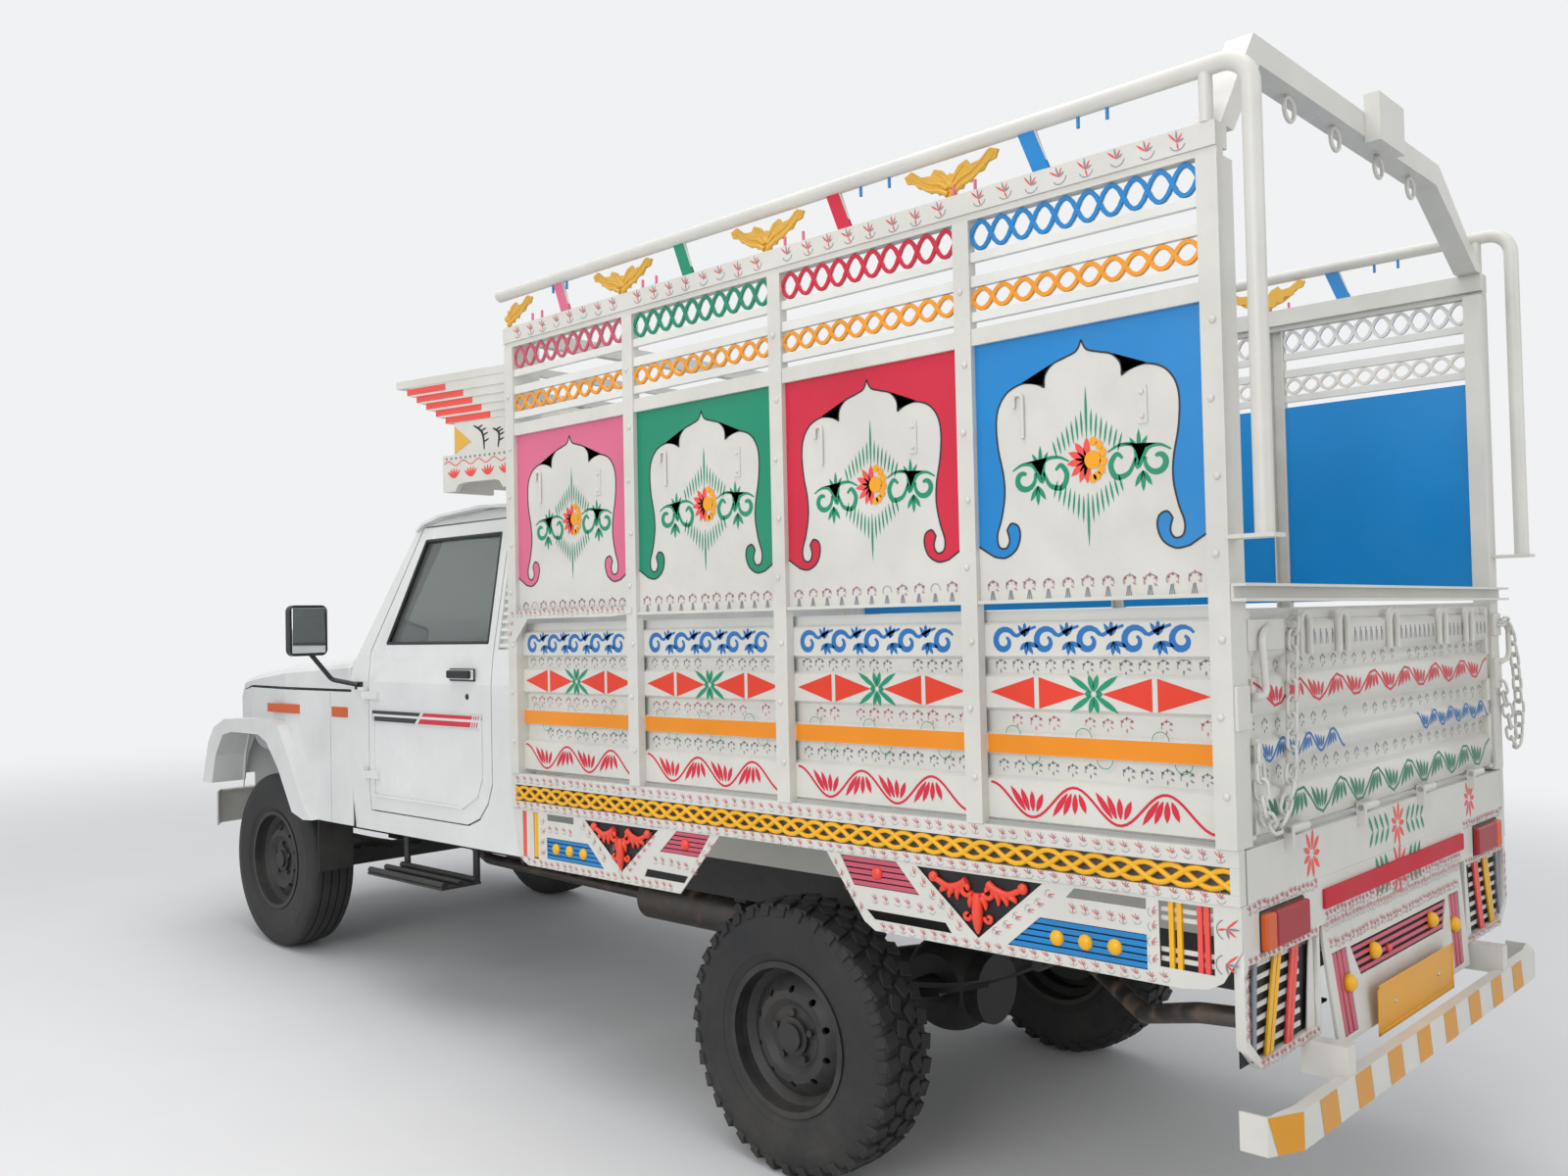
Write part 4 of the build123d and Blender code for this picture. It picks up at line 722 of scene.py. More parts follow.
def rays(u, v, way):
    """A fan of green strokes over (way 1) or under (way -1) the flower."""
    loops = [petal(u, v, 0.115, 0.0065, 90 * way)]
    for k in range(1, 8):
        for side in (-1, 1):
            loops.append(petal(u + side * 0.0105 * k, v - way * (0.0065 * k - 0.012),
                               0.062 - 0.0032 * k, 0.0052, 90 * way - side * way * 2.2 * k))
    return loops


def scroll_pair(u, v, side):
    """Two leaf scrolls back to back, with sprigs above and below."""
    loops = [brushed(about(u, v, side, spiral(0.036, -0.006, 0.010, 0.030, 120, -200)),
                     0.014, 0.45),
             brushed(about(u, v, side, smooth([
                 (-0.014, 0.004), (-0.030, -0.026), (-0.060, -0.032), (-0.072, -0.006),
                 (-0.058, 0.016), (-0.044, 0.006)])), 0.013, 0.4),
             brushed(about(u, v, side, smooth([(0.066, 0.014), (0.040, 0.026), (0.012, 0.020),
                                               (-0.010, -0.016), (-0.016, 0.028), (-0.050, 0.034),
                                               (-0.078, 0.022)])), 0.010, 0.3)]
    loops += sprig(u - side * 0.006, v + 0.014, 0.010, ((90, 0.050), (60, 0.040), (122, 0.040)))
    return loops + sprig(u + side * 0.002, v - 0.024, 0.011,
                         ((-90, 0.044), (-58, 0.038), (-120, 0.038)))


# %% Paint the arches
paint = []
for bay, (y0, y1) in enumerate(BAYS):
    mid, wide = (y0 + y1) / 2, (y1 - y0) / 2 - 0.001
    half = arch_edge + [(wide, CURTAIN_FOOT), (wide, CURTAIN_TOP), (0.0, CURTAIN_TOP)]
    paint.append(film([about(mid, 0, 1, half), about(mid, 0, -1, half[::-1])],
                      ("field_pink", "field_green", "field_red", "field_blue")[bay], LEFT, PANEL_X))
    paint.append(film([ribbon(about(mid, 0, side, arch_edge + [(wide, CURTAIN_FOOT)]), 0.0042)
                       for side in (-1, 1)], "outline_ink", LEFT, PANEL_X + FILM))
    u = mid + 0.007
    paint += [film(rays(u, 1.868, 1) + rays(u, 1.752, -1), "leaf_green", LEFT, PANEL_X),
              film(scroll_pair(u + 0.128, 1.812, 1) + scroll_pair(u - 0.122, 1.802, -1),
                   "leaf_green", LEFT, PANEL_X),
              film([petal(u, 1.822, 0.050, 0.017, turn)
                    for turn in (90, 125, 155, 185, 218, 248, 270)],
                   "petal_red", LEFT, PANEL_X + FILM)]
    gold = [disc(u + 0.014, 1.822, 0.020)]
    for turn in (78, 48, 20, -8, -36, -62, -84):
        t = math.radians(turn)
        gold.append(disc(u + 0.010 + 0.030 * math.cos(t), 1.822 + 0.040 * math.sin(t), 0.0095, 12))
    paint.append(film(gold, "petal_orange", LEFT, PANEL_X + 2 * FILM))
    # the stamped row of flowers along the sheet's lower edge, in grey over rose
    a, b = y0 + 0.01, y1 - 0.01
    paint.append(film(stamped_row(a, b, 1.560, 0.036, 0.045, 40 + bay), "stamp_rose", LEFT,
                      PANEL_X))
    stalks = []
    count = int((y1 - y0 - 0.02) / 0.045)
    for k in range(count):
        u = a + (b - a) * (k + 0.5) / count
        for lean in (-0.006, 0.0, 0.006):
            stalks.append(ribbon([(u + lean * 0.3, 1.551), (u + lean, 1.528)], [0.0022, 0.0030]))
        stalks.append(ribbon(spiral(u, 1.560, 0.012, 0.015, 210, -10, 8), 0.0016))
    paint.append(film(stalks, "stamp_grey", LEFT, PANEL_X + FILM))
both(paint, "arch_paint")

# %% [markdown]
# ## Lattices over the sheets
#
# Above each sheet run two lattices between plain slats: an orange one and one in the bay's own
# colour. The real ones are two bars bent to a wave and crossed, painted on the outside and
# left white on the inside. A wave drawn as a thick stroke, filled and beveled, is one bar; the
# second runs half a wave later.

# %% Bars with soft edges
def rough_box(wide, deep, tall):
    """A box about the origin, as a blank for a bar or a tread block."""
    bpy.ops.object.select_all(action="DESELECT")
    bpy.ops.mesh.primitive_cube_add(size=1)
    obj = bpy.context.object
    obj.data.transform(Matrix.Diagonal((wide, deep, tall, 1)))
    return obj


def soften(obj, width, segments=2):
    """Rounds the edges of a piece that are sharper than 40 degrees."""
    pick(obj)
    edge = obj.modifiers.new("soft edges", "BEVEL")
    edge.width = width
    edge.segments = segments
    edge.limit_method = "ANGLE"
    edge.angle_limit = math.radians(40)
    bpy.ops.object.modifier_apply(modifier=edge.name)
    return obj


def bar(x, y, z, finish, edge=0.0015, segments=2):
    """A straight bar of sheet or tube with rounded edges, from the limits of each axis."""
    obj = rough_box(*(b - a for a, b in (x, y, z)))
    obj.data.transform(Matrix.Translation([(a + b) / 2 for a, b in (x, y, z)]))
    return give(soften(obj, edge, segments), finish)


# %% Two waves that cross
def crossed(y0, y1, low, high, depth, out, finish, waves=5, width=0.0100):
    """Two wavy bars that cross each other between two heights, pressed flat where they meet."""
    mid, rise = (low + high) / 2, (high - low - width) / 2
    steps = 12 * waves
    made = []
    for sign in (-1, 1):
        line = []
        for k in range(steps + 1):
            swing = math.sin(2 * math.pi * k / 12)
            line.append((y0 + (y1 - y0) * k / steps,
                         mid + sign * rise * math.copysign(abs(swing) ** 0.8, swing)))
        made.append(flat([ribbon(line, width)], finish, LEFT, out - depth + 0.0004 * sign, depth,
                         min(width, depth) * 0.22))
    return made


# %% Slats and lattices of every bay
frets = []
for bay, (y0, y1) in enumerate(BAYS):
    for low, high in ((2.166, 2.189), (2.246, 2.272), (2.303, 2.326)):
        frets.append(bar((0.855, 0.869), (y0, y1), (low, high), "lattice_white"))
    own = ("slot_rose", "field_green", "field_red", "field_blue")[bay]
    for low, high, shade in ((2.190, 2.245, "lattice_orange"), (2.327, 2.399, own)):
        frets += crossed(y0, y1, low, high, 0.0050, 0.8665, shade)
        frets += crossed(y0, y1, low, high, 0.0030, 0.8608, "lattice_white")
both(frets, "side_frets", stands_for=["side_lattices"])

# %% [markdown]
# ## Rivets, the yellow strip and the printed flowers on the frame
#
# Round-headed rivets run down every post. The long strip under the boards is three waves of
# round yellow bar, each a third of a wave behind the last, in front of grey sheet. White bars
# round it are printed all over with the same little red and grey flower stamp.

# %% Rivets down the posts
QUARTER = Matrix.Rotation(math.pi / 2, 4, "Z")


def domes(spots, r, rise, finish, segments=10):
    """Rounded heads at (x, y, z), flat side towards the truck's middle."""
    bpy.ops.object.select_all(action="DESELECT")
    bpy.ops.mesh.primitive_uv_sphere_add(segments=segments, ring_count=6, radius=1)
    head = bpy.context.object
    bpy.ops.object.mode_set(mode="EDIT")
    bpy.ops.mesh.select_all(action="SELECT")
    bpy.ops.transform.rotate(value=math.pi / 2, orient_axis="Y", center_override=(0, 0, 0))
    bpy.ops.mesh.bisect(plane_co=(0, 0, 0), plane_no=(1, 0, 0), clear_inner=True, use_fill=True)
    bpy.ops.object.mode_set(mode="OBJECT")
    bpy.ops.object.shade_smooth()
    copies = [double(head, Matrix.Translation(spot) @ Matrix.Diagonal((rise, r, r, 1)))
              for spot in spots]
    bpy.data.objects.remove(head)
    return give(joined(*copies), finish)


def rear_knob(spot, r, rise, finish, segments):
    """One rounded head that faces rearwards."""
    knob = domes([(0, 0, 0)], r, rise, finish, segments)
    knob.data.transform(Matrix.Translation(spot) @ QUARTER)
    return knob


spots = [(HALF - 0.0005, y - 0.004 + 0.008 * (k % 2), z) for y in POSTS
         for k, z in enumerate((2.24, 2.07, 1.915, 1.76, 1.607, 1.437, 1.285, 1.13))]
del spots[32]                # the last post's top rivet is missing
both([domes(spots, 0.0085, 0.006, "body_cream")], "rivets")

# %% Tapered curls, and the yellow strip: three waves of round bar in their rails
def curl(points, radii, out, finish):
    """A round tapered rod along (u, v) points on the left side."""
    obj = drawn([(u, v, 0) for u, v in points], 1.0, resolution=2, radii=radii)
    obj.data.transform(LEFT @ Matrix.Translation((0, 0, out)))
    return give(obj, finish)


strip = [bar((0.8413, BASE_X), (BODY_FRONT, BODY_REAR), (low, high), "body_cream", 0.002)
         for low, high in ((0.915, 0.938), (0.990, 1.0257))]
strip += [bar((0.8413, BASE_X), (y, y + 0.020), (0.937, 0.991), "body_cream", 0.002)
          for y in (BODY_FRONT, BODY_REAR - 0.020)]
y0, y1, periods = BODY_FRONT + 0.018, BODY_REAR - 0.018, 14
for third in range(3):
    line = [(y0 + (y1 - y0) * k / (12 * periods),
             0.964 + 0.0195 * math.sin(2 * math.pi * (k / 12 + third / 3)))
            for k in range(12 * periods + 1)]
    strip.append(curl(line, [0.0062] * len(line), 0.8632 + 0.0008 * third, "strip_yellow"))
strip.append(flat([block(BODY_FRONT + 0.015, BODY_REAR - 0.015, 0.936, 0.992)], "grey_sheet",
                  LEFT, 0.8420, 0.001))
both(strip, "yellow_strip", stands_for=["base_rails"])

# %% The flower stamp, scattered along bars
def print_on(path, size, pitch, seed, out, stand=LEFT):
    """Stamped flowers along a line of points, as two films of paint: rose and grey."""
    dice = random.Random(seed)
    rose, grey = [], []
    for (u0, v0), (u1, v1) in zip(path, path[1:]):
        count = max(int(math.hypot(u1 - u0, v1 - v0) / pitch), 1)
        for k in range(count):
            t = (k + 0.5) / count
            u = u0 + (u1 - u0) * t + dice.uniform(-0.003, 0.003)
            v = v0 + (v1 - v0) * t + dice.uniform(-0.003, 0.003)
            lean = math.degrees(math.atan2(v1 - v0, u1 - u0)) + dice.uniform(-12, 12)
            for j in range(4):
                (rose if j % 2 else grey).append(
                    petal(u, v, size * (0.5 + 0.12 * j), size * 0.13, lean + 25 + 38 * j))
            grey.append(ribbon(spiral(u, v, size * 0.45, size * 0.55, lean - 150, lean - 10, 6),
                               size * 0.06))
            if dice.random() < 0.6:
                rose.append(petal(u, v, size * 0.5, size * 0.12, lean - 70))
    return [film(rose, "petal_red", stand, out), film(grey, "stamp_grey", stand, out + FILM / 2)]


prints = []
for row, v in enumerate((1.0085, 0.9265)):
    prints += print_on([(BODY_FRONT + 0.02, v), (BODY_REAR - 0.02, v)], 0.020, 0.034, 90 + row,
                       BASE_X)
for bay, (y0, y1) in enumerate(BAYS):
    prints += print_on([(y0, 2.439), (y1, 2.439)], 0.034, 0.062, 95 + bay, RAIL_X)

# %% [markdown]
# ## Skirts
#
# The skirt is one sheet with cut-outs. Behind them sit slotted plates in blue and rose with
# round knobs, a ladder of red and yellow bars, and in each triangle a cast red scroll. The
# scroll is built from a few solid curls, each a tapered tube bent along a curve.

# %% Skirt sheets with their cut-outs
# each skirt's edge, then its open cut-outs, then those backed by a near-black sheet of painted
# shade, two with coloured slats
SKIRTS = (
    ([(-1.100, SKIRT_TOP), (-1.078, 0.790), (-1.058, 0.752), (-1.020, 0.737), (-0.297, 0.737),
      (-0.133, SKIRT_TOP)],
     [block(-1.048, -1.026, 0.762, 0.908), block(-0.990, -0.964, 0.762, 0.908),
      block(-0.917, -0.782, 0.887, 0.907),
      [(-0.439, 0.791), (-0.263, 0.789), (-0.280, 0.768), (-0.452, 0.768)]],
     [[(-0.921, 0.768), (-0.637, 0.768), (-0.711, 0.834), (-0.921, 0.834)],
      [(-0.382, 0.846), (-0.221, 0.846), (-0.172, 0.911), (-0.309, 0.911)],
      [(-0.728, 0.906), (-0.388, 0.906), (-0.552, 0.771)]]),
    ([(0.257, SKIRT_TOP), (0.378, 0.756), (0.412, 0.737), (1.215, 0.737), (1.270, 0.745),
      (1.300, 0.762), (1.341, 0.830), (1.341, SKIRT_TOP)],
     [[(0.385, 0.786), (0.625, 0.786), (0.642, 0.764), (0.410, 0.764)],
      [(0.948, 0.886), (1.137, 0.886), (1.137, 0.908), (0.969, 0.908)],
      block(1.165, 1.283, 0.774, 0.908)],
     [[(0.795, 0.762), (1.137, 0.762), (1.137, 0.834), (0.881, 0.834)],
      [(0.346, 0.840), (0.550, 0.840), (0.481, 0.911), (0.303, 0.911)],
      [(0.543, 0.908), (0.889, 0.908), (0.716, 0.764)]]))


# %% What stands in the cut-outs
def slats_in(outline, finish, rows=5):
    """Level slats that fill a four-sided cut-out, with thin gaps between where the painted shade
    behind shows.
    """
    (a, low), (b, _), (c, high), (d, _) = outline
    loops = []
    for k in range(rows):
        s, t = (k + 0.10) / rows, (k + 0.86) / rows
        foot, top = low + (high - low) * s, low + (high - low) * t
        loops.append([(a + (d - a) * s, foot), (b + (c - b) * s, foot), (b + (c - b) * t, top),
                      (a + (d - a) * t, top)])
    return flat(loops, finish, LEFT, 0.8600, 0.0045, SHEET_EDGE)


def scroll(u, v):
    """The cast ornament of a triangle, hung from (u, v): volutes, knobs, leaves and a palm."""
    made = []
    for side in (-1, 1):
        made.append(curl(about(u, v, side, spiral(0.031, -0.035, 0.004, 0.018, 200, -160, 16)),
                         [0.0062] * 17, 0.866, "scroll_red"))
        arm = smooth(about(u, v, side, ((0.030, -0.017), (0.052, -0.030), (0.082, -0.036),
                                        (0.108, -0.026), (0.121, -0.020))), 4)
        made.append(curl(arm, [0.0095 - 0.0002 * k for k in range(len(arm))], 0.866, "scroll_red"))
        made.append(domes([(0.864, u + side * 0.123, v - 0.018)], 0.0135, 0.014, "scroll_red", 16))
        for a, b, c, d in ((0.050, -0.034, 0.056, -0.064), (0.068, -0.038, 0.080, -0.062),
                           (0.088, -0.038, 0.104, -0.052), (0.012, -0.050, 0.022, -0.078)):
            bend = ((a + c) / 2 + 0.004, (b + d) / 2)
            leaf = smooth(about(u, v, side, ((a, b), bend, (c, d))), 3)
            made.append(curl(leaf, [0.0088, 0.0085, 0.0080, 0.0070, 0.0056, 0.0040, 0.0022], 0.865,
                             "scroll_red"))
        made.append(curl(about(u, v, side, spiral(0.030, -0.096, 0.003, 0.012, 120, -190, 12)),
                         [0.0050] * 13, 0.865, "scroll_red"))
    palm = [(u, v - drop) for drop in (0.042, 0.062, 0.084, 0.104, 0.122, 0.134)]
    return made + [curl(palm, [0.010, 0.013, 0.014, 0.013, 0.009, 0.003], 0.866, "scroll_red")]


# %% Build the skirts
fill = [flat([edge] + holes + plates, "body_cream", LEFT, 0.863, 0.004, SHEET_EDGE)
        for edge, holes, plates in SKIRTS]
for _, _, plates in SKIRTS:
    for plate, shade in zip(plates, ("field_blue", "slot_rose", "")):
        mid = [sum(p[k] for p in plate) / len(plate) for k in (0, 1)]
        wider = [(mid[0] + (p[0] - mid[0]) * 1.06, min(mid[1] + (p[1] - mid[1]) * 1.10, 0.9145))
                 for p in plate]
        # painted shade: a near-black sheet a little larger than the cut-out, set behind it
        fill.append(flat([wider], "dark_hole", LEFT, 0.857, 0.0025))
        if shade:
            fill.append(slats_in(plate, shade))
for spots, r, shade in ((((-0.874, 0.802), (-0.806, 0.802), (-0.738, 0.801), (0.922, 0.795),
                          (0.992, 0.796), (1.062, 0.797)), 0.0185, "strip_yellow"),
                        (((-0.275, 0.876), (0.420, 0.876)), 0.0170, "scroll_red")):
    fill += [domes([(0.862, u, v)], r, 0.013, shade, 18) for u, v in spots]
fill += scroll(-0.557, 0.908) + scroll(0.716, 0.908)
# ladders of square bars at both ends
for places, shade in (((-1.042, -1.031, 1.252, 1.267), "petal_red"),
                      ((-0.984, -0.972, 1.190, 1.208), "strip_yellow")):
    fill += [bar((0.856, 0.864), (u - 0.0055, u + 0.0055), (0.766, 0.912), shade, 0.001, 1)
             for u in places]
fill += [bar((0.8525, 0.857), ends, (v - 0.005, v + 0.005), "body_cream", 0.001, 1)
         for v in (0.789, 0.808, 0.872, 0.890) for ends in ((-1.050, -0.962), (1.163, 1.285))]
both(fill, "skirt", stands_for=["side_skirts"])

# %% Print the skirts' bars
for n, path in enumerate((
        [(-1.07, 0.755), (-1.00, 0.748), (-0.32, 0.751)], [(-0.60, 0.845), (-0.55, 0.757)],
        [(-0.745, 0.895), (-0.62, 0.79)], [(-0.40, 0.90), (-0.53, 0.775)],
        [(-0.42, 0.818), (-0.25, 0.818)], [(-0.16, 0.90), (-0.25, 0.79)],
        [(0.275, 0.90), (0.375, 0.775)], [(0.40, 0.812), (0.60, 0.812)],
        [(0.42, 0.750), (1.19, 0.750)], [(0.52, 0.90), (0.68, 0.775)],
        [(0.92, 0.90), (0.755, 0.775)],
        [(0.95, 0.862), (1.13, 0.860)], [(1.151, 0.90), (1.151, 0.77)],
        [(-0.92, 0.860), (-0.78, 0.860)], [(-0.940, 0.90), (-0.940, 0.77)])):
    prints += print_on(path, 0.019, 0.030, 120 + n, SKIRT_X)
prints += print_on([(1.308, 0.900), (1.306, 0.770)], 0.040, 0.046, 150, SKIRT_X)
both(prints, "stamped_flowers")

# %% [markdown]
# ## The rear
#
# The tailgate repeats the side boards' bands in three colours. White chains hang from its top
# corners, and inverted hooks of round bar stand along its edge. Below it come a painted cross
# member, the lamps, two ladder grilles, a centre panel with slats and knobs, and a bumper in
# orange and cream stripes. Seen from behind, u runs to the right, which is -X.

# %% Paint the tailgate
# the blue band is left bare in its middle, between two runs
gate = [film(wave(*run), shade, REAR, GATE_Y) for run, shade in (
    ((-0.770, 0.770, 1.288, 1.357, 7), "wave_red"),
    ((-0.770, -0.300, 1.177, 1.237, 3.5), "vine_blue"),
    ((0.180, 0.770, 1.177, 1.237, 4.5), "vine_blue"),
    ((-0.770, 0.770, 1.044, 1.126, 7), "wave_green"))]
gate += [film(stamped_row(-0.78, 0.78, v, 0.030, 0.062, 300 + row), "stamp_grey", REAR,
              GATE_Y - 0.016) for row, v in enumerate((1.3805, 1.2575, 1.157))]
ticks = []
for k in range(46):
    u = -0.76 + 1.52 * k / 45
    ticks.append(ribbon([(u, 1.418), (u + 0.003, 1.452)], [0.003, 0.006]))
    ticks.append(ribbon([(u + 0.011, 1.418), (u + 0.008, 1.444)], [0.002, 0.004]))
gate.append(film(ticks, "stamp_grey", REAR, GATE_Y))
settle(joined(*gate), "tailgate_paint", "tailgate")

# %% [markdown]
# Each chain link is a short rod bent to a stadium and closed. One link is made, and copies
# turned a quarter each time are laid along the hanging line.

# %% Chains
LINK, LINK_W, LINK_R = 0.044, 0.025, 0.0042


def chain(points):
    """White links along a smooth line in the level frame."""
    straight = LINK / 2 - LINK_W / 2
    ring = [(x, 0, z + way * straight) for way, start in ((1, 0), (-1, 180))
            for x, z in spiral(0, 0, LINK_W / 2, LINK_W / 2, start, start + 180, 7)]
    link = drawn(ring, LINK_R, closed=True, resolution=1)
    fine = [Vector(p) for p in smooth(points, 12)]
    made, walked = [], 0.0
    for a, b in zip(fine, fine[1:]):
        gap = (b - a).length
        while walked <= gap and gap > 0:
            turn = (b - a).normalized().to_track_quat("Z", "Y").to_matrix().to_4x4()
            made.append(double(link, Matrix.Translation(a.lerp(b, walked / gap)) @ turn
                               @ Matrix.Rotation(math.pi / 2 * (len(made) % 2) + 0.5, 4, "Z")))
            walked += LINK - 2.2 * LINK_R
        walked -= gap
    bpy.data.objects.remove(link)
    return give(joined(*made), "chain_white")


# %% Bent rods
def rod(points, r, finish, rounds=6):
    """A bent round bar along points, its corners rounded."""
    line = [Vector(p) for p in points]
    path = [line[0]]
    for a, b, c in zip(line, line[1:], line[2:]):
        cut = min(0.45 * (b - a).length, 0.45 * (c - b).length, 0.022)
        p, q = b + (a - b).normalized() * cut, b + (c - b).normalized() * cut
        for k in range(rounds + 1):
            t = k / rounds
            path.append((1 - t) ** 2 * p + 2 * t * (1 - t) * b + t * t * q)
    return give(drawn(path + [line[-1]], r, 50), finish)


# %% The gate itself: a folded sheet, its frame, hinge tubes, hooks, chain and handle
fold = [(GATE_Y - 0.016, 1.034)]
for low, high in ((1.040, 1.130), (1.184, 1.230), (1.284, 1.361), (1.400, 1.470)):
    fold += [(GATE_Y - 0.016, low - 0.004), (GATE_Y, low + 0.004), (GATE_Y, high - 0.004),
             (GATE_Y - 0.016, high + 0.004)]
fold.append((GATE_Y - 0.016, 1.495))
hanging = [flat([fold + [(y - 0.004, z) for y, z in reversed(fold)]], "body_cream", LEFT, -0.800,
                1.600, 0.0012),
           bar((-0.800, 0.800), (1.305, 1.321), (1.475, 1.495), "body_cream", 0.002)]
for x in (-0.787, 0.787):
    hanging.append(bar((x - 0.013, x + 0.013), (1.305, 1.335), (1.034, 1.495), "body_cream", 0.002))
for x in (-0.600, -0.200, 0.200, 0.600):
    hanging += [rod([(x - 0.040, HINGE_Y, HINGE_Z), (x + 0.040, HINGE_Y, HINGE_Z)], 0.009,
                    "body_cream"),
                rod([(x, HINGE_Y, HINGE_Z), (x + 0.058, HINGE_Y, HINGE_Z)], 0.006, "zinc_steel"),
                bar((x - 0.036, x + 0.036), (1.327, HINGE_Y), (1.034, 1.046), "body_cream", 0.001)]
for x in (0.520, 0.306, -0.013, -0.378, -0.598):
    arch = [(a, 1.341, b) for a, b in spiral(x, 1.464, 0.026, 0.026, 0, 180, 10)]
    hanging.append(rod([(x + 0.026, 1.341, 1.398)] + arch + [(x - 0.026, 1.341, 1.398)], 0.008,
                       "body_cream", 2))
hanging += [chain([(0.588, 1.346, 1.463), (0.615, 1.350, 1.345), (0.635, 1.352, 1.174),
                   (0.680, 1.354, 1.085), (0.732, 1.354, 1.056), (0.776, 1.352, 1.110),
                   (0.782, 1.350, 1.231)]),
            rod([(0.786, 1.346, 1.322), (0.741, 1.350, 1.321), (0.755, 1.350, 1.445),
                 (0.700, 1.340, 1.462)], 0.0075, "body_cream"),
            bar((0.620, 0.796), (1.333, 1.340), (1.412, 1.476), "body_cream", 0.002)]
hanging += [bar((x - 0.007, x + 0.007), (1.318, 1.349), (z - 0.007, z + 0.007), "body_cream")
            for x, z in ((0.588, 1.463), (0.782, 1.231))]
settle(joined(*hanging), "tailgate_sheet", "tailgate", ["tailgate"])

# %% The right-hand chain hangs outside its post
outboard = [chain([(-0.850, 1.349, 1.445), (-0.905, 1.358, 1.440), (-0.950, 1.362, 1.330),
                   (-0.965, 1.364, 1.180), (-0.940, 1.364, 1.095), (-0.900, 1.362, 1.110),
                   (-0.870, 1.358, 1.200), (-0.852, 1.349, 1.270)]),
            rod([(-0.845, 1.346, 1.445), (-0.915, 1.356, 1.445), (-0.915, 1.356, 1.345),
                 (-0.850, 1.346, 1.330)], 0.0075, "body_cream"),
            bar((-0.872, -0.806), (1.3400, 1.349), (1.410, 1.474), "body_cream", 0.002)]
outboard += [bar((x - 0.03, x + 0.03), (1.3400, 1.348), (1.258, 1.345), "body_cream", 0.002)
             for x in (-0.84, 0.84)]
settle(joined(*outboard), "rear_fittings")

# %% Flowers and leaves on the painted cross member
def burst(u, v, reach, tall):
    """A red flower of loose strokes round an empty middle, taller than it is wide."""
    return [petal(*around(u, v, 0.010, t), reach if abs(math.sin(math.radians(t))) < 0.5 else tall,
                  0.014, t) for t in range(0, 360, 40)]


cross = [film([loop for u in (-0.52, 0.0, 0.55) for loop in burst(u, 0.972, 0.034, 0.044)],
              "petal_red", REAR, CROSS_Y),
         # a second row stands half behind the reflector
         film(burst(0.0, 0.866, 0.040, 0.056), "petal_red", REAR, CROSS_Y)]
leaves = []
for side in (-1, 1):
    for k in range(4):
        leaves += sprig(side * (0.060 + 0.034 * k), 0.972, 0.013,
                        ((90 - side * 35, 0.046), (-90 + side * 35, 0.042)))
    for k in range(3):
        leaves += sprig(side * (0.070 + 0.030 * k), 0.866, 0.018,
                        ((90 - side * 25, 0.052), (-90 + side * 25, 0.052)))
cross.append(film(leaves, "leaf_green", REAR, CROSS_Y))
settle(joined(*cross), "rear_cross_paint")


# %% Lamps and the reflector strip
def mirrored(side, *loops):
    """Outlines as they are given, or turned over when side is -1."""
    return [[(side * a, b) for a, b in loop] for loop in loops]


def sided(side, x, y, z, *look):
    """A bar on one side of the truck, from limits given for the left."""
    return bar(sorted(side * a for a in x), y, z, *look)


lenses = []
for side in (-1, 1):
    lenses += [sided(side, (0.572, 0.736), (1.323, 1.357), (0.816, 0.888), "lamp_red", 0.005, 3),
               sided(side, (0.738, 0.784), (1.323, 1.357), (0.816, 0.888), "amber_lens", 0.005, 3),
               sided(side, (0.568, 0.788), (1.321, 1.343), (0.812, 0.892), "black_plastic", 0.003)]
lenses.append(bar((-0.470, 0.470), (1.3413, 1.349), (0.846, 0.888), "reflector_red"))
settle(joined(*lenses), "rear_lenses", stands_for=["tail_lamps"])

# %% [markdown]
# ## Grilles and the centre panel
#
# Below the lamps each side has a framed ladder: white rungs over a near-black sheet of painted
# shade, with a yellow and a red pair of bars that lean outwards. Between them hangs the centre
# panel, tipped a little rearwards at its foot, with rose slats in a window and at both sides
# over more painted shade, round yellow knobs and an amber plate left blank.

# %% Grilles
def slant(foot, foot_end, top, top_end, low, high):
    """A leaning strip between two heights, from its ends at the foot and at the top."""
    return [(foot, low), (foot_end, low), (top_end, high), (top, high)]


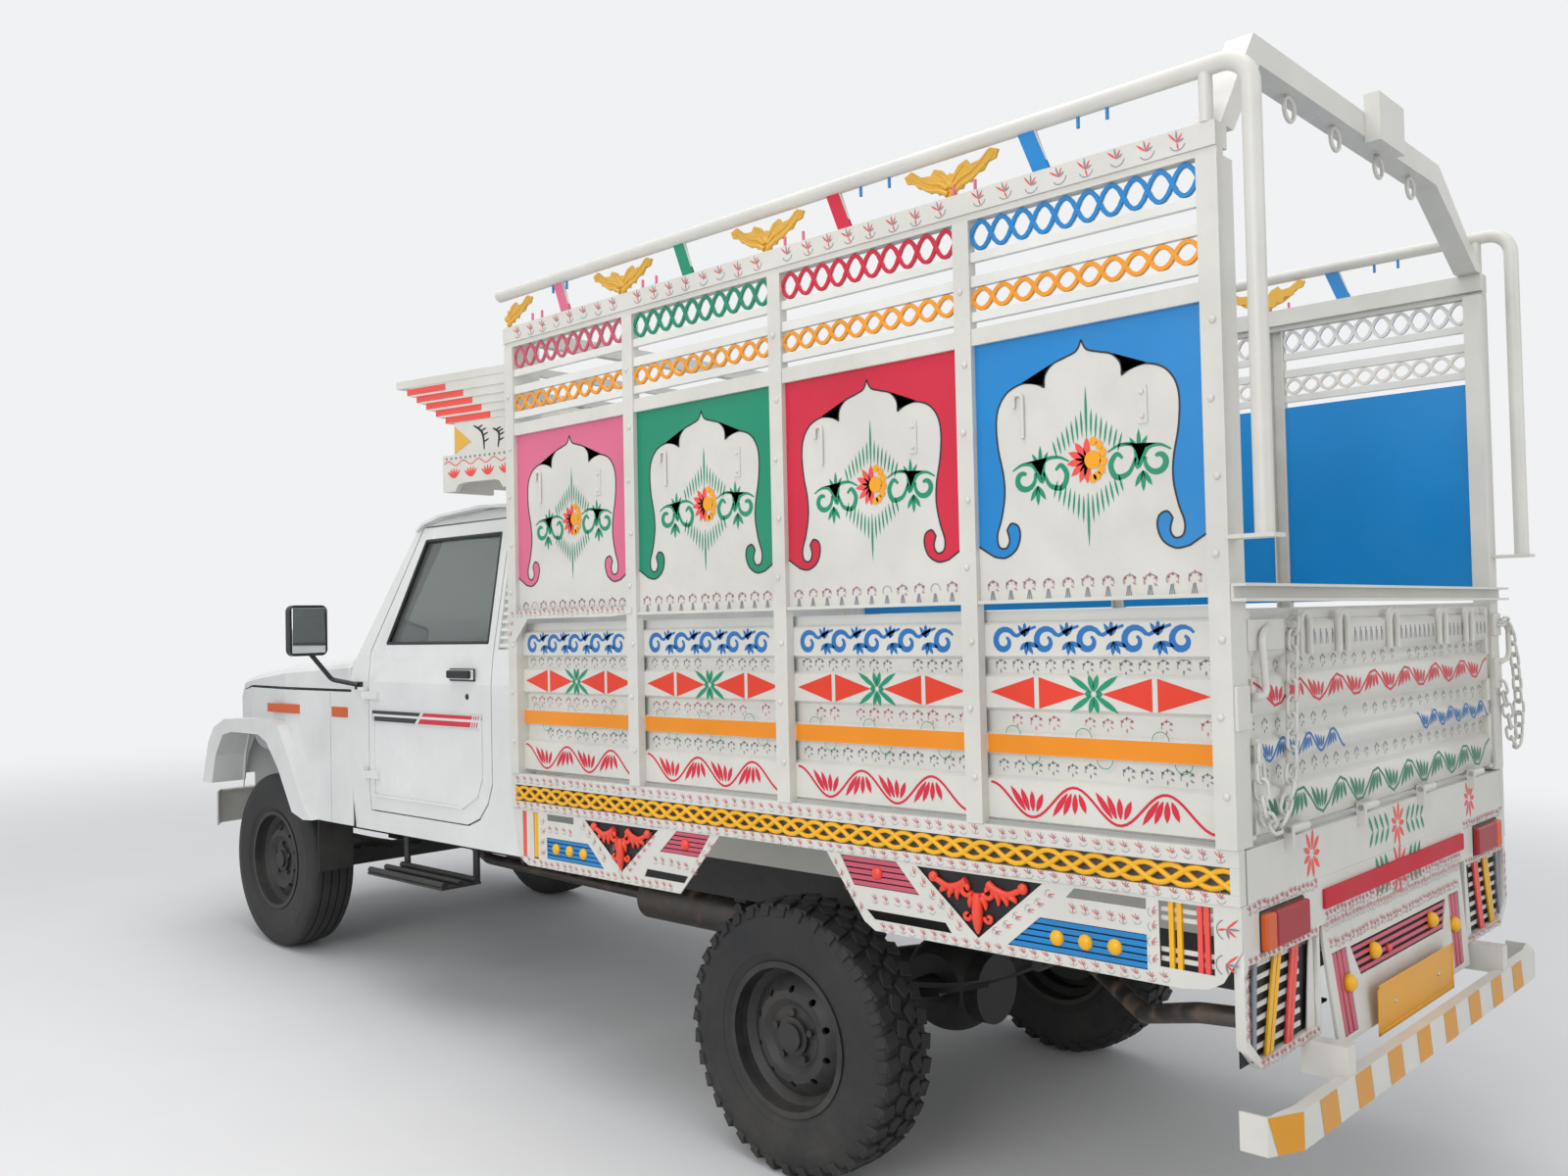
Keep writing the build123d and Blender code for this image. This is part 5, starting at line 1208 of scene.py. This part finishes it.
work = []
for side in (-1, 1):
    frame_edge = [(0.000, 0.8120), (0.492, 0.8120), (0.492, 0.587), (0.800, 0.587), (0.861, 0.640),
                  (0.861, SKIRT_TOP), (0.000, SKIRT_TOP)]
    ladder = [(0.508, 0.603), (0.792, 0.603), (0.843, 0.648), (0.843, 0.796), (0.508, 0.796)]
    work.append(flat(mirrored(side, frame_edge, ladder, block(0.5695, 0.7865, 0.8105, 0.8935)),
                     "body_cream", REAR, 1.319, 0.022, 0.0015))
    # painted shade: a near-black sheet behind the ladder's opening
    work.append(flat(mirrored(side, block(0.500, 0.850, 0.596, 0.803)), "dark_hole", REAR, 1.3195,
                     0.003, SHEET_EDGE))
    work += [sided(side, (0.572, 0.838), (1.3235, 1.3275), (0.618 + 0.027 * k, 0.629 + 0.027 * k),
                  "body_cream", 0.001, 1) for k in range(7)]
    for top, foot, shade in ((0.682, 0.736, "strip_yellow"), (0.702, 0.756, "strip_yellow"),
                             (0.596, 0.640, "petal_red"), (0.614, 0.658, "petal_red"),
                             (0.800, 0.815, "stamp_grey")):
        work.append(flat(mirrored(side, slant(foot - 0.008, foot + 0.008, top - 0.008, top + 0.008,
                                              0.603, 0.797)), shade, REAR, 1.3300, 0.006,
                         SHEET_EDGE))
    work.append(flat(mirrored(side, slant(0.512, 0.556, 0.512, 0.530, 0.600, 0.800)), "body_cream",
                     REAR, 1.3300, 0.004, SHEET_EDGE))
grilles = joined(*work)

# %% The centre panel, made upright and then tipped
PANEL_TURN = 0.0905          # radians
window = [(-0.284, 0.668), (0.284, 0.668), (0.325, 0.738), (-0.325, 0.738)]
gaps = [mirrored(side, slant(0.330, 0.410, 0.348, 0.430, 0.558, 0.742))[0] for side in (-1, 1)]
panel = [flat([[(-0.447, 0.545), (0.447, 0.545), (0.465, 0.755), (0.465, 0.838), (-0.465, 0.838),
                (-0.465, 0.755)], window] + gaps, "body_cream", REAR, 1.3330, 0.0080, 0.0015),
         # painted shade: a near-black sheet behind the window and the side gaps
         flat([slant(-0.430, 0.430, -0.445, 0.445, 0.555, 0.745)], "dark_hole", REAR, 1.3290, 0.003,
              SHEET_EDGE)]
for k in range(4):
    reach = 0.284 + (0.004 + 0.017 * k) * 0.58
    panel.append(bar((-reach, reach), (1.3335, 1.3395), (0.672 + 0.017 * k, 0.681 + 0.017 * k),
                     "slot_rose", 0.001, 1))
for side in (-1, 1):
    loops = [slant(a - 0.019, a + 0.001, a, a + 0.020, 0.560, 0.740) for a in (0.352, 0.378, 0.404)]
    panel.append(flat(mirrored(side, *loops), "slot_rose", REAR, 1.3345, 0.0045, SHEET_EDGE))
panel += [rear_knob((side * x, 1.340, z), 0.021, 0.020, "strip_yellow", 18)
          for x, z in ((0.198, 0.706), (0.360, 0.666)) for side in (-1, 1)]
panel.append(rear_knob((0.105, 1.340, 0.694), 0.010, 0.010, "petal_red", 12))
centre = joined(*panel)
centre.data.transform(Matrix.Translation((0, 1.341, 0.755)) @ Matrix.Rotation(PANEL_TURN, 4, "X")
                      @ Matrix.Translation((0, -1.341, -0.755)))
plate = [bar((-0.260, 0.260), (1.3740, 1.3752), (0.528, 0.641), "plate_amber", 0.0005, 1)]
plate += [bar(x, (1.3745, 1.3768), z, "plate_amber", SHEET_EDGE, 1) for x, z in (
    ((-0.260, 0.260), (0.632, 0.641)), ((-0.260, 0.260), (0.528, 0.537)),
    ((-0.260, -0.251), (0.528, 0.641)), ((0.251, 0.260), (0.528, 0.641)))]
for x in (-0.150, 0.150):
    plate += [bar((x - 0.015, x + 0.015), (1.345, 1.3745), (0.570, 0.600), "body_cream", 0.001, 1),
              rear_knob((x, 1.3752, 0.585), 0.006, 0.003, "zinc_steel", 8)]
settle(joined(grilles, centre, *plate), "rear_grille_work", stands_for=["rear_grilles"])

# %% Prints on the rear frame
frame_prints = []
for n, path in enumerate((
        [(-0.84, 0.905), (-0.49, 0.905)], [(0.49, 0.905), (0.84, 0.905)],
        [(-0.46, 0.830), (0.46, 0.830)], [(-0.46, 0.805), (0.46, 0.805)],
        [(-0.84, 0.802), (-0.50, 0.802)], [(0.50, 0.802), (0.84, 0.802)],
        [(-0.852, 0.790), (-0.852, 0.650)], [(0.852, 0.790), (0.852, 0.650)],
        [(-0.80, 0.595), (-0.50, 0.595)], [(0.50, 0.595), (0.80, 0.595)],
        [(-0.44, 0.762), (0.44, 0.762)])):
    frame_prints += print_on(path, 0.019, 0.021, 400 + n, CROSS_Y + 0.0002, REAR)
settle(joined(*frame_prints), "rear_frame_prints")

# %% The striped bumper, its bent-back left end on a plane of its own
END = Matrix(((-0.9033, 0, 0.4290, 0.880), (0.4290, 0, 0.9033, 1.386), (0, 1, 0, 0),
              (0, 0, 0, 1)))
stripes = [slant(u + 0.018, u + 0.104, u, u + 0.086, 0.4505, 0.5245)
           for u in (-0.722 + 0.186 * k for k in range(8))]
settle(joined(film(stripes, "bumper_amber", REAR, 1.4241),
              film([slant(0.024, 0.088, 0.001, 0.088, 0.4505, 0.5245)], "bumper_amber", END,
                   0.0004)),
       "bumper_stripes")

# %% [markdown]
# ## Tyres
#
# The front tyres are worn ribbed ones, the rear pair have open block treads. A ring section is
# spun about the axle for the carcass; tread blocks are small bevelled blocks, modelled once
# and copied round, so that each stays a few faces.

# %% Sections of the tyres
WHEEL_X = 0.680              # middle of each tyre
BLOCKS_ROUND = 36
# (half width, radius) of the outer skin from the bead to the shoulder, then of each tread
SIDEWALL = [(0.074, 0.1945), (0.080, 0.200), (0.083, 0.208), (0.086, 0.216), (0.0905, 0.230),
            (0.0915, 0.233), (0.0925, 0.233), (0.0958, 0.262), (0.0968, 0.280), (0.0965, 0.296),
            (0.0975, 0.300), (0.0968, 0.305), (0.0945, 0.322), (0.0915, 0.336)]
RIBS = [(0.0880, 0.350), (0.0790, 0.3605), (0.0700, 0.3640), (0.0560, 0.3655), (0.0545, 0.3590),
        (0.0500, 0.3590), (0.0485, 0.3665), (0.0210, 0.3678), (0.0195, 0.3605), (0.0140, 0.3605),
        (0.0125, 0.3678)]
LUG_BASE = [(0.0870, 0.346), (0.0780, 0.3520), (0.0560, 0.3555), (0.0200, 0.3570)]
LINER = [(-0.060, 0.200), (-0.080, 0.250), (-0.078, 0.320), (0.0, 0.340), (0.078, 0.320),
         (0.080, 0.250), (0.060, 0.200)]
# tread blocks: middle x, radius, size, lean in degrees, tilt in radians, share of the pitch;
# the last two rows are bars that run down the sidewall
BLOCKS = ((0.066, 0.3562, (0.042, 0.040, 0.016), 14, 0.10, 0.0),
          (-0.066, 0.3562, (0.042, 0.040, 0.016), -14, -0.10, 0.5),
          (0.023, 0.3597, (0.036, 0.044, 0.016), -24, 0.0, 0.3),
          (-0.023, 0.3597, (0.036, 0.044, 0.016), 24, 0.0, 0.8),
          (-0.0895, 0.343, (0.010, 0.030, 0.030), 0, 0.42, 0.5),
          (0.0895, 0.343, (0.010, 0.030, 0.030), 0, -0.42, 0.0))


# %% Spin the carcass
def tyre(tread, centre):
    """A whole carcass with one of the two treads, spun in edit mode."""
    half = SIDEWALL + tread
    ring = half + [(-x, r) for x, r in reversed(half)] + LINER
    mesh = bpy.data.meshes.new("shape")
    mesh.from_pydata([(x, 0, r) for x, r in ring],
                     [(k, (k + 1) % len(ring)) for k in range(len(ring))], [])
    obj = placed(mesh)
    bpy.ops.object.mode_set(mode="EDIT")
    bpy.ops.mesh.select_all(action="SELECT")
    bpy.ops.mesh.spin(steps=72, angle=2 * math.pi, center=(0, 0, 0), axis=(1, 0, 0))
    bpy.ops.mesh.select_all(action="SELECT")
    bpy.ops.mesh.remove_doubles(threshold=0.0002)
    bpy.ops.mesh.normals_make_consistent(inside=False)
    bpy.ops.object.mode_set(mode="OBJECT")
    bpy.ops.object.shade_smooth_by_angle(angle=math.radians(35))
    obj.data.transform(Matrix.Translation(centre))
    return give(obj, "tyre_rubber")


# %% Lay the blocks round it
def lugs(centre):
    """Open shoulder blocks, a zigzag row in the middle and the sidewall's bars."""
    made = []
    for x, r, size, lean, tilt, share in BLOCKS:
        one = rough_box(*size)
        one.data.transform(Matrix.Translation((x, 0, r)) @ Matrix.Rotation(tilt, 4, "Y")
                           @ Matrix.Rotation(math.radians(lean), 4, "Z"))
        soften(one, 0.002, 1)
        made += [double(one, Matrix.Translation(centre)
                        @ Matrix.Rotation(2 * math.pi * (k + share) / BLOCKS_ROUND, 4, "X"))
                 for k in range(BLOCKS_ROUND)]
        bpy.data.objects.remove(one)
    return give(joined(*made), "tyre_rubber")


for side, word in ((1, "left"), (-1, "right")):
    hub = (side * WHEEL_X, FRONT_Y, FRONT_Z)
    settle(tyre(RIBS, hub), f"front_tread_{word}", f"front_wheel_{word}", [f"front_tyre_{word}"])
    hub = (side * WHEEL_X, 0.0, AXLE_Z)
    settle(joined(tyre(LUG_BASE, hub), lugs(hub)), f"rear_tread_{word}", f"rear_wheel_{word}",
           [f"rear_tyre_{word}"])

# %% [markdown]
# ## Cab details
#
# Small things make the cab read as real: black rubber round the glass, a silver mirror face,
# a black pull handle and lock, orange reflective strips, a decal band with its words left
# off, and wipers.

# %% Strips, handles and rubber
both([bar((0.7975, 0.8025), (-2.990, -2.700), (1.160, 1.198), "amber_lens", 0.001, 1),
      bar((0.7975, 0.8035), (-2.425, -2.300), (1.158, 1.198), "amber_lens", 0.001, 1)],
     "reflective_strips")

DECAL = (1.153, 1.193)       # lower and upper edge of the band's colours
both([bar((0.808, 0.826), (-1.556, -1.422), (1.322, 1.350), "black_plastic", 0.006, 3),
      bar((0.800, 0.808), (-1.562, -1.408), (1.312, 1.356), "black_plastic", 0.003),
      domes([(0.800, -1.462, 1.258)], 0.011, 0.004, "black_plastic", 16),
      film([block(-2.115, -1.372, 1.150, 1.196)], "cab_white", LEFT, 0.8035),
      film([slant(-2.105, -1.800, -2.105, -1.760, *DECAL)], "decal_black", LEFT, 0.8040),
      film([slant(-1.780, -1.440, -1.740, -1.425, *DECAL)]
           + [slant(a, a + 0.006, a + 0.015, a + 0.021, *DECAL) for a in (-1.432, -1.418, -1.404)],
           "wave_red", LEFT, 0.8040)], "door_trim", "door_%")

# rubber round the side window, on a door frame that leans inwards as it rises
window = [(0.786 - (z - 1.40) * 0.166, y, z)
          for y, z in ((-2.026, 1.444), (-1.842, 1.822), (-1.356, 1.822), (-1.356, 1.444))]
both([rod(ends, 0.007, "black_plastic") for ends in zip(window, window[1:] + window[:1])],
     "window_rubber", "door_%")

# mirror faces look rearwards
settle(joined(*(bar((x - 0.066, x + 0.066), (-2.2635, -2.2600), (1.415, 1.585), "mirror_silver",
                    0.001, 1) for x in (-0.975, 0.975))), "mirror_faces")

settle(joined(*(rod([(x, -2.238, 1.402), (x - 0.02, -2.212, 1.450), (x - 0.30, -2.160, 1.526)],
                    0.005, "black_plastic") for x in (-0.36, 0.28))), "wipers")

# %% [markdown]
# ## Braces, scrolls and fixings
#
# The braces of the pipe rail take the colours of the bays, and gold feathers lie on the
# scrolls between them.

# %% Coloured braces, feathers on the scrolls and pins
# thickness at the root, then (u from the scroll's middle, v)
FEATHERS = (
    (0.0075, ((0.006, 2.478), (0.030, 2.492), (0.060, 2.500), (0.092, 2.520), (0.124, 2.543))),
    (0.0065, ((0.006, 2.492), (0.028, 2.508), (0.056, 2.516), (0.086, 2.534), (0.108, 2.553))),
    (0.0055, ((0.004, 2.506), (0.020, 2.524), (0.040, 2.536))))
rail_work = [flat([slant(y + 0.017, y + 0.059, y - 0.023, y + 0.019, 2.4655, 2.565)], shade, LEFT,
                  0.8622, 0.0096, SHEET_EDGE)
             for y, shade in ((-0.812, "field_pink"), (-0.250, "field_green"),
                              (0.330, "field_red"), (0.900, "field_blue"))]
for middle in [BODY_FRONT + 0.002] + [y - 0.034 for y in POSTS[1:4]]:
    for side in (-1, 1):
        if side < 0 and middle < POSTS[0]:
            continue             # the first scroll has no room for feathers to its left
        for r, feather in FEATHERS:
            line = smooth(about(middle, 0, side, feather), 4)
            n = len(line)
            rail_work.append(curl(line, [r * (1 - 0.7 * k / n) for k in range(n)], 0.861, "gold"))
    rail_work.append(domes([(0.860, middle, 2.500)], 0.011, 0.010, "gold", 14))
for low, high, shade, places in (
        (2.4655, 2.492, "field_pink",
         (-0.950, -0.900, -0.410, -0.350, 0.160, 0.225, 0.700, 0.760)),
        (2.535, 2.562, "field_blue", (-0.84, -0.77, 0.42, 0.51, 1.03, 1.10))):
    rail_work += [rod([(0.867, y, low), (0.867, y, high)], 0.004, shade) for y in places]
both(rail_work, "rail_work")

# %% Hooks and straps of the painted sheets, and prints on the front bracket
fixings = []
for y0, y1 in BAYS:
    u = (y0 + y1) / 2
    fixings += [rod([(0.865, u - 0.150, 1.886), (0.865, u - 0.150, 1.984),
                     (0.865, u - 0.172, 1.984), (0.865, u - 0.172, 1.955)], 0.0045, "body_cream"),
                bar((0.861, 0.8640), (u + 0.128, u + 0.151), (1.885, 1.964), "body_cream",
                    SHEET_EDGE, 1),
                domes([(0.864, u + 0.1395, 1.900), (0.864, u + 0.1395, 1.950)], 0.006, 0.004,
                      "body_cream")]
fixings += print_on([(-1.08, 1.537), (-0.50, 1.537)], 0.016, 0.024, 700, RAIL_X)
fixings += print_on([(-1.075, 1.525), (-1.085, 1.455)], 0.016, 0.024, 701, RAIL_X)
both(fixings, "panel_fixings")

# %% [markdown]
# ## The board over the cab
#
# The wings of this board spread a little as they run forwards, so its paint is laid out on a
# leaning plane: red ends on the five stepped slats, a gold triangle, black feathered arcs, and
# red sprays along the lower band.

# %% Paint the board over the cab
def wing(grow=0.0):
    """The plane of a spreading side wing, its foot moved out by grow."""
    return Matrix(((-0.2, 0, 0.9806, 0.815 + grow - 0.22006), (1, 0, 0.1961, 0), (0, 1, 0, 0),
                   (0, 0, 0, 1)))


WING_OUT = 0.0003
head = []
for k, start in enumerate((-1.230, -1.265, -1.302, -1.339, -1.417)):
    low = 2.1953 + 0.028 * k
    head.append(film([block(-1.4375 - 0.041 * k, start, low + 0.001, low + 0.0225)], "petal_red",
                     wing(0.002 + 0.004 * k), WING_OUT))
head.append(film([[(-1.3985, 2.182), (-1.3985, 2.088), (-1.322, 2.124)]], "gold", wing(), WING_OUT))
arcs = []
for a, b, c, d in ((-1.310, 2.178, -1.262, 2.092), (-1.222, 2.160, -1.200, 2.094)):
    line = smooth([(a, b), ((a + c) / 2 + 0.016, (b + d) / 2 + 0.014), (c, d)], 6)
    arcs.append(brushed(line, 0.009, 0.3))
    arcs += [petal(*line[n], 0.026, 0.006, 20) for n in (3, 5, 7, 9)]
head.append(film(arcs, "outline_ink", wing(), WING_OUT))
sprays = [petal(-1.395 + 0.078 * k + 0.006 * math.cos(math.radians(turn)), 2.006, 0.036, 0.0085,
                turn) for k in range(4) for turn in (50, 72, 94, 116, 138)]
sprays.append(ribbon([(-1.440 + 0.010 * k, 2.056 + 0.008 * math.sin(k * 0.9)) for k in range(33)],
                     0.0035))
head += [film(sprays, "petal_red", wing(0.006), WING_OUT),
         film([disc(-1.430 + 0.022 * k, 2.073, 0.005, 8) for k in range(14)], "stamp_grey",
              wing(0.006), WING_OUT)]
both(head, "head_paint")

# %% The front of that board, which the photograph doesn't show, carries the same patterns
gems, stars = [], []
for u in (-0.860 + 0.344 * k for k in range(5)):
    gems += diamonds(u + 0.006, u + 0.338, 1.995, 2.073)
    stars += leaf_star(u + 0.172, 2.034)
settle(joined(film(gems, "petal_red", FRONT, 1.4490), film(stars, "leaf_green", FRONT, 1.4492),
              film(wave(-0.820, 0.820, 2.108, 2.172, 6.5), "petal_red", FRONT, 1.4000)),
       "head_paint_front")

# %% [markdown]
# ## The bench seat
#
# The seat is a foam bench in woven cloth. It starts as a copy of the solid, remeshed evenly,
# and a short cloth simulation with some air pressure makes its faces swell as stuffed cloth
# does. Sewn channels are pressed in afterwards by a wave along the bench, and the whole cover
# is drawn in by a few millimetres.

# %% Sew and fill the seat
SWELL, CHANNEL, CHANNEL_DEPTH = 0.012, 0.090, 0.005     # most swelling, pitch and depth
seat = double(nodes["seat"], Matrix.Identity(4))
seat.hide_render = False
seat.name = "seat_cushions"
if "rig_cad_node" in seat:
    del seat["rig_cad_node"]
seat.parent = None
seat.matrix_world = Matrix.Identity(4)
pick(seat)
remesh = seat.modifiers.new("even faces", "REMESH")
remesh.mode = "VOXEL"
remesh.voxel_size = 0.022
bpy.ops.object.modifier_apply(modifier=remesh.name)
start = [v.co.copy() for v in seat.data.vertices]
cloth = seat.modifiers.new("filling", "CLOTH")
cloth.settings.quality = 5
cloth.settings.use_pressure = True
cloth.settings.uniform_pressure_force = 4.0
cloth.settings.effector_weights.gravity = 0.0
for step in range(1, 13):
    bpy.context.scene.frame_set(step)
bpy.ops.object.modifier_apply(modifier=cloth.name)
bpy.context.scene.frame_set(1)
for vertex, old in zip(seat.data.vertices, start):
    move = vertex.co - old
    if move.length > SWELL:
        move *= SWELL / move.length
    groove = 0.5 + 0.5 * math.cos(2 * math.pi * old.x / CHANNEL)
    vertex.co = old + move * 0.6 - vertex.normal * (0.003 + CHANNEL_DEPTH * groove ** 6)
bpy.ops.object.shade_smooth()
give(seat, "seat_cloth")
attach(seat, "truck")
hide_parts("seat")
print("seat faces:", len(seat.data.polygons))

# %% [markdown]
# ## Stage
#
# A pale floor, a pale surround that only the camera sees as white, and soft lamps: a wide one
# overhead as an overcast sky would be, and two from behind the camera's shoulders.

# %% Floor
bpy.ops.object.select_all(action="DESELECT")
bpy.ops.mesh.primitive_plane_add(size=60, location=(0, 0, 0))
floor = bpy.context.object
floor.name = "floor"
floor_finish = bpy.data.materials.new("floor_finish")
floor_finish.use_nodes = True
paper = floor_finish.node_tree
floor_shader = paper.nodes["Principled BSDF"]
place = add(paper, "ShaderNodeTexCoord").outputs["Object"]
grain = add(paper, "ShaderNodeTexNoise", {"Vector": place, "Scale": 3.0, "Detail": 6.0})
floor_tone = add(paper, "ShaderNodeMapRange", {"Value": grain.outputs[0], 3: 0.74, 4: 0.78})
wire(paper, floor_shader, Base_Color=floor_tone.outputs[0])
floor_shader.inputs["Roughness"].default_value = 0.9
# away from the truck the paper runs out into the white surround
reach = add(paper, "ShaderNodeVectorMath", {0: place}, operation="LENGTH")
fade = add(paper, "ShaderNodeMapRange", {"Value": reach.outputs["Value"], 1: 3.5, 2: 9.0},
           interpolation_type="SMOOTHSTEP")
eye = add(paper, "ShaderNodeLightPath")
share = add(paper, "ShaderNodeMath", {0: fade.outputs[0], 1: eye.outputs["Is Camera Ray"]},
            operation="MULTIPLY")
glow = add(paper, "ShaderNodeEmission", {"Color": linear("#F1F2F3"), "Strength": 1.0})
mix = add(paper, "ShaderNodeMixShader", {
    0: share.outputs[0], 1: floor_shader.outputs[0], 2: glow.outputs[0]})
wire(paper, paper.nodes["Material Output"], Surface=mix.outputs[0])
floor.data.materials.append(floor_finish)
floor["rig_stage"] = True

# %% Surround
world = bpy.data.worlds.new("studio")
bpy.context.scene.world = world
world.use_nodes = True
air = world.node_tree
sky = air.nodes["Background"]
ray = add(air, "ShaderNodeLightPath").outputs
direct = add(air, "ShaderNodeMath", {0: ray["Is Camera Ray"], 1: ray["Is Transmission Ray"]},
             operation="MAXIMUM")
seen = add(air, "ShaderNodeMath", {0: direct.outputs[0], 1: ray["Is Glossy Ray"]},
           operation="MAXIMUM")
tone = add(air, "ShaderNodeMix", {
    0: seen.outputs[0], 6: linear("#B6B9BD"), 7: linear("#F1F2F3")}, data_type="RGBA")
wire(air, sky, Color=tone.outputs[2])
sky.inputs["Strength"].default_value = 1.0

# %% Lamps
# name, place, aim, size, watts
for name, spot, aim, size, watts in (
        ("sky_panel", (1.0, 0.5, 7.5), (0, 0, 1.2), 7.0, 330),
        ("side_panel", (8.0, 2.5, 4.0), (0, 0.3, 1.4), 5.0, 245),
        ("rear_panel_light", (-1.0, 9.0, 4.0), (0, 1.5, 1.4), 5.0, 110)):
    lamp = bpy.data.lights.new(name, "AREA")
    lamp.size = size
    lamp.energy = watts
    holder = bpy.data.objects.new(name, lamp)
    holder.location = spot
    holder.rotation_euler = (Vector(aim) - Vector(spot)).to_track_quat("-Z", "Y").to_euler()
    bpy.context.scene.collection.objects.link(holder)
bpy.context.scene.view_settings.view_transform = "Standard"

# %% [markdown]
# ## Camera
#
# The lens and place come from matching the wheels, posts and rails of the photograph: an eye
# 1.6 m above the road, 3.5 m from the rear left corner, looking forwards along the side.

# %% Camera
YAW, PITCH_UP, ROLL = 0.8085, 0.0274, -0.0212           # radians
EYE = (3.3339, 2.4852, 1.4866)                          # in the level frame
ahead = Vector((-math.sin(YAW) * math.cos(PITCH_UP), -math.cos(YAW) * math.cos(PITCH_UP),
                math.sin(PITCH_UP)))
level = ahead.cross(Vector((0, 0, 1))).normalized()
above = level.cross(ahead)
right = math.cos(ROLL) * level + math.sin(ROLL) * above
up = -math.sin(ROLL) * level + math.cos(ROLL) * above
optics = bpy.data.cameras.new("photo_view")
optics.lens = 30.18
optics.sensor_width = 36
camera = bpy.data.objects.new("photo_view", optics)
bpy.context.scene.collection.objects.link(camera)
stand = Matrix((right, up, -ahead)).transposed().to_4x4()
stand.translation = EYE
camera.matrix_world = TIP @ stand
bpy.context.scene.camera = camera
print("camera at", [round(v, 3) for v in camera.location])

# %% Sizes of the whole truck
low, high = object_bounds()
print("visual box:", [round(v, 3) for v in low], [round(v, 3) for v in high])
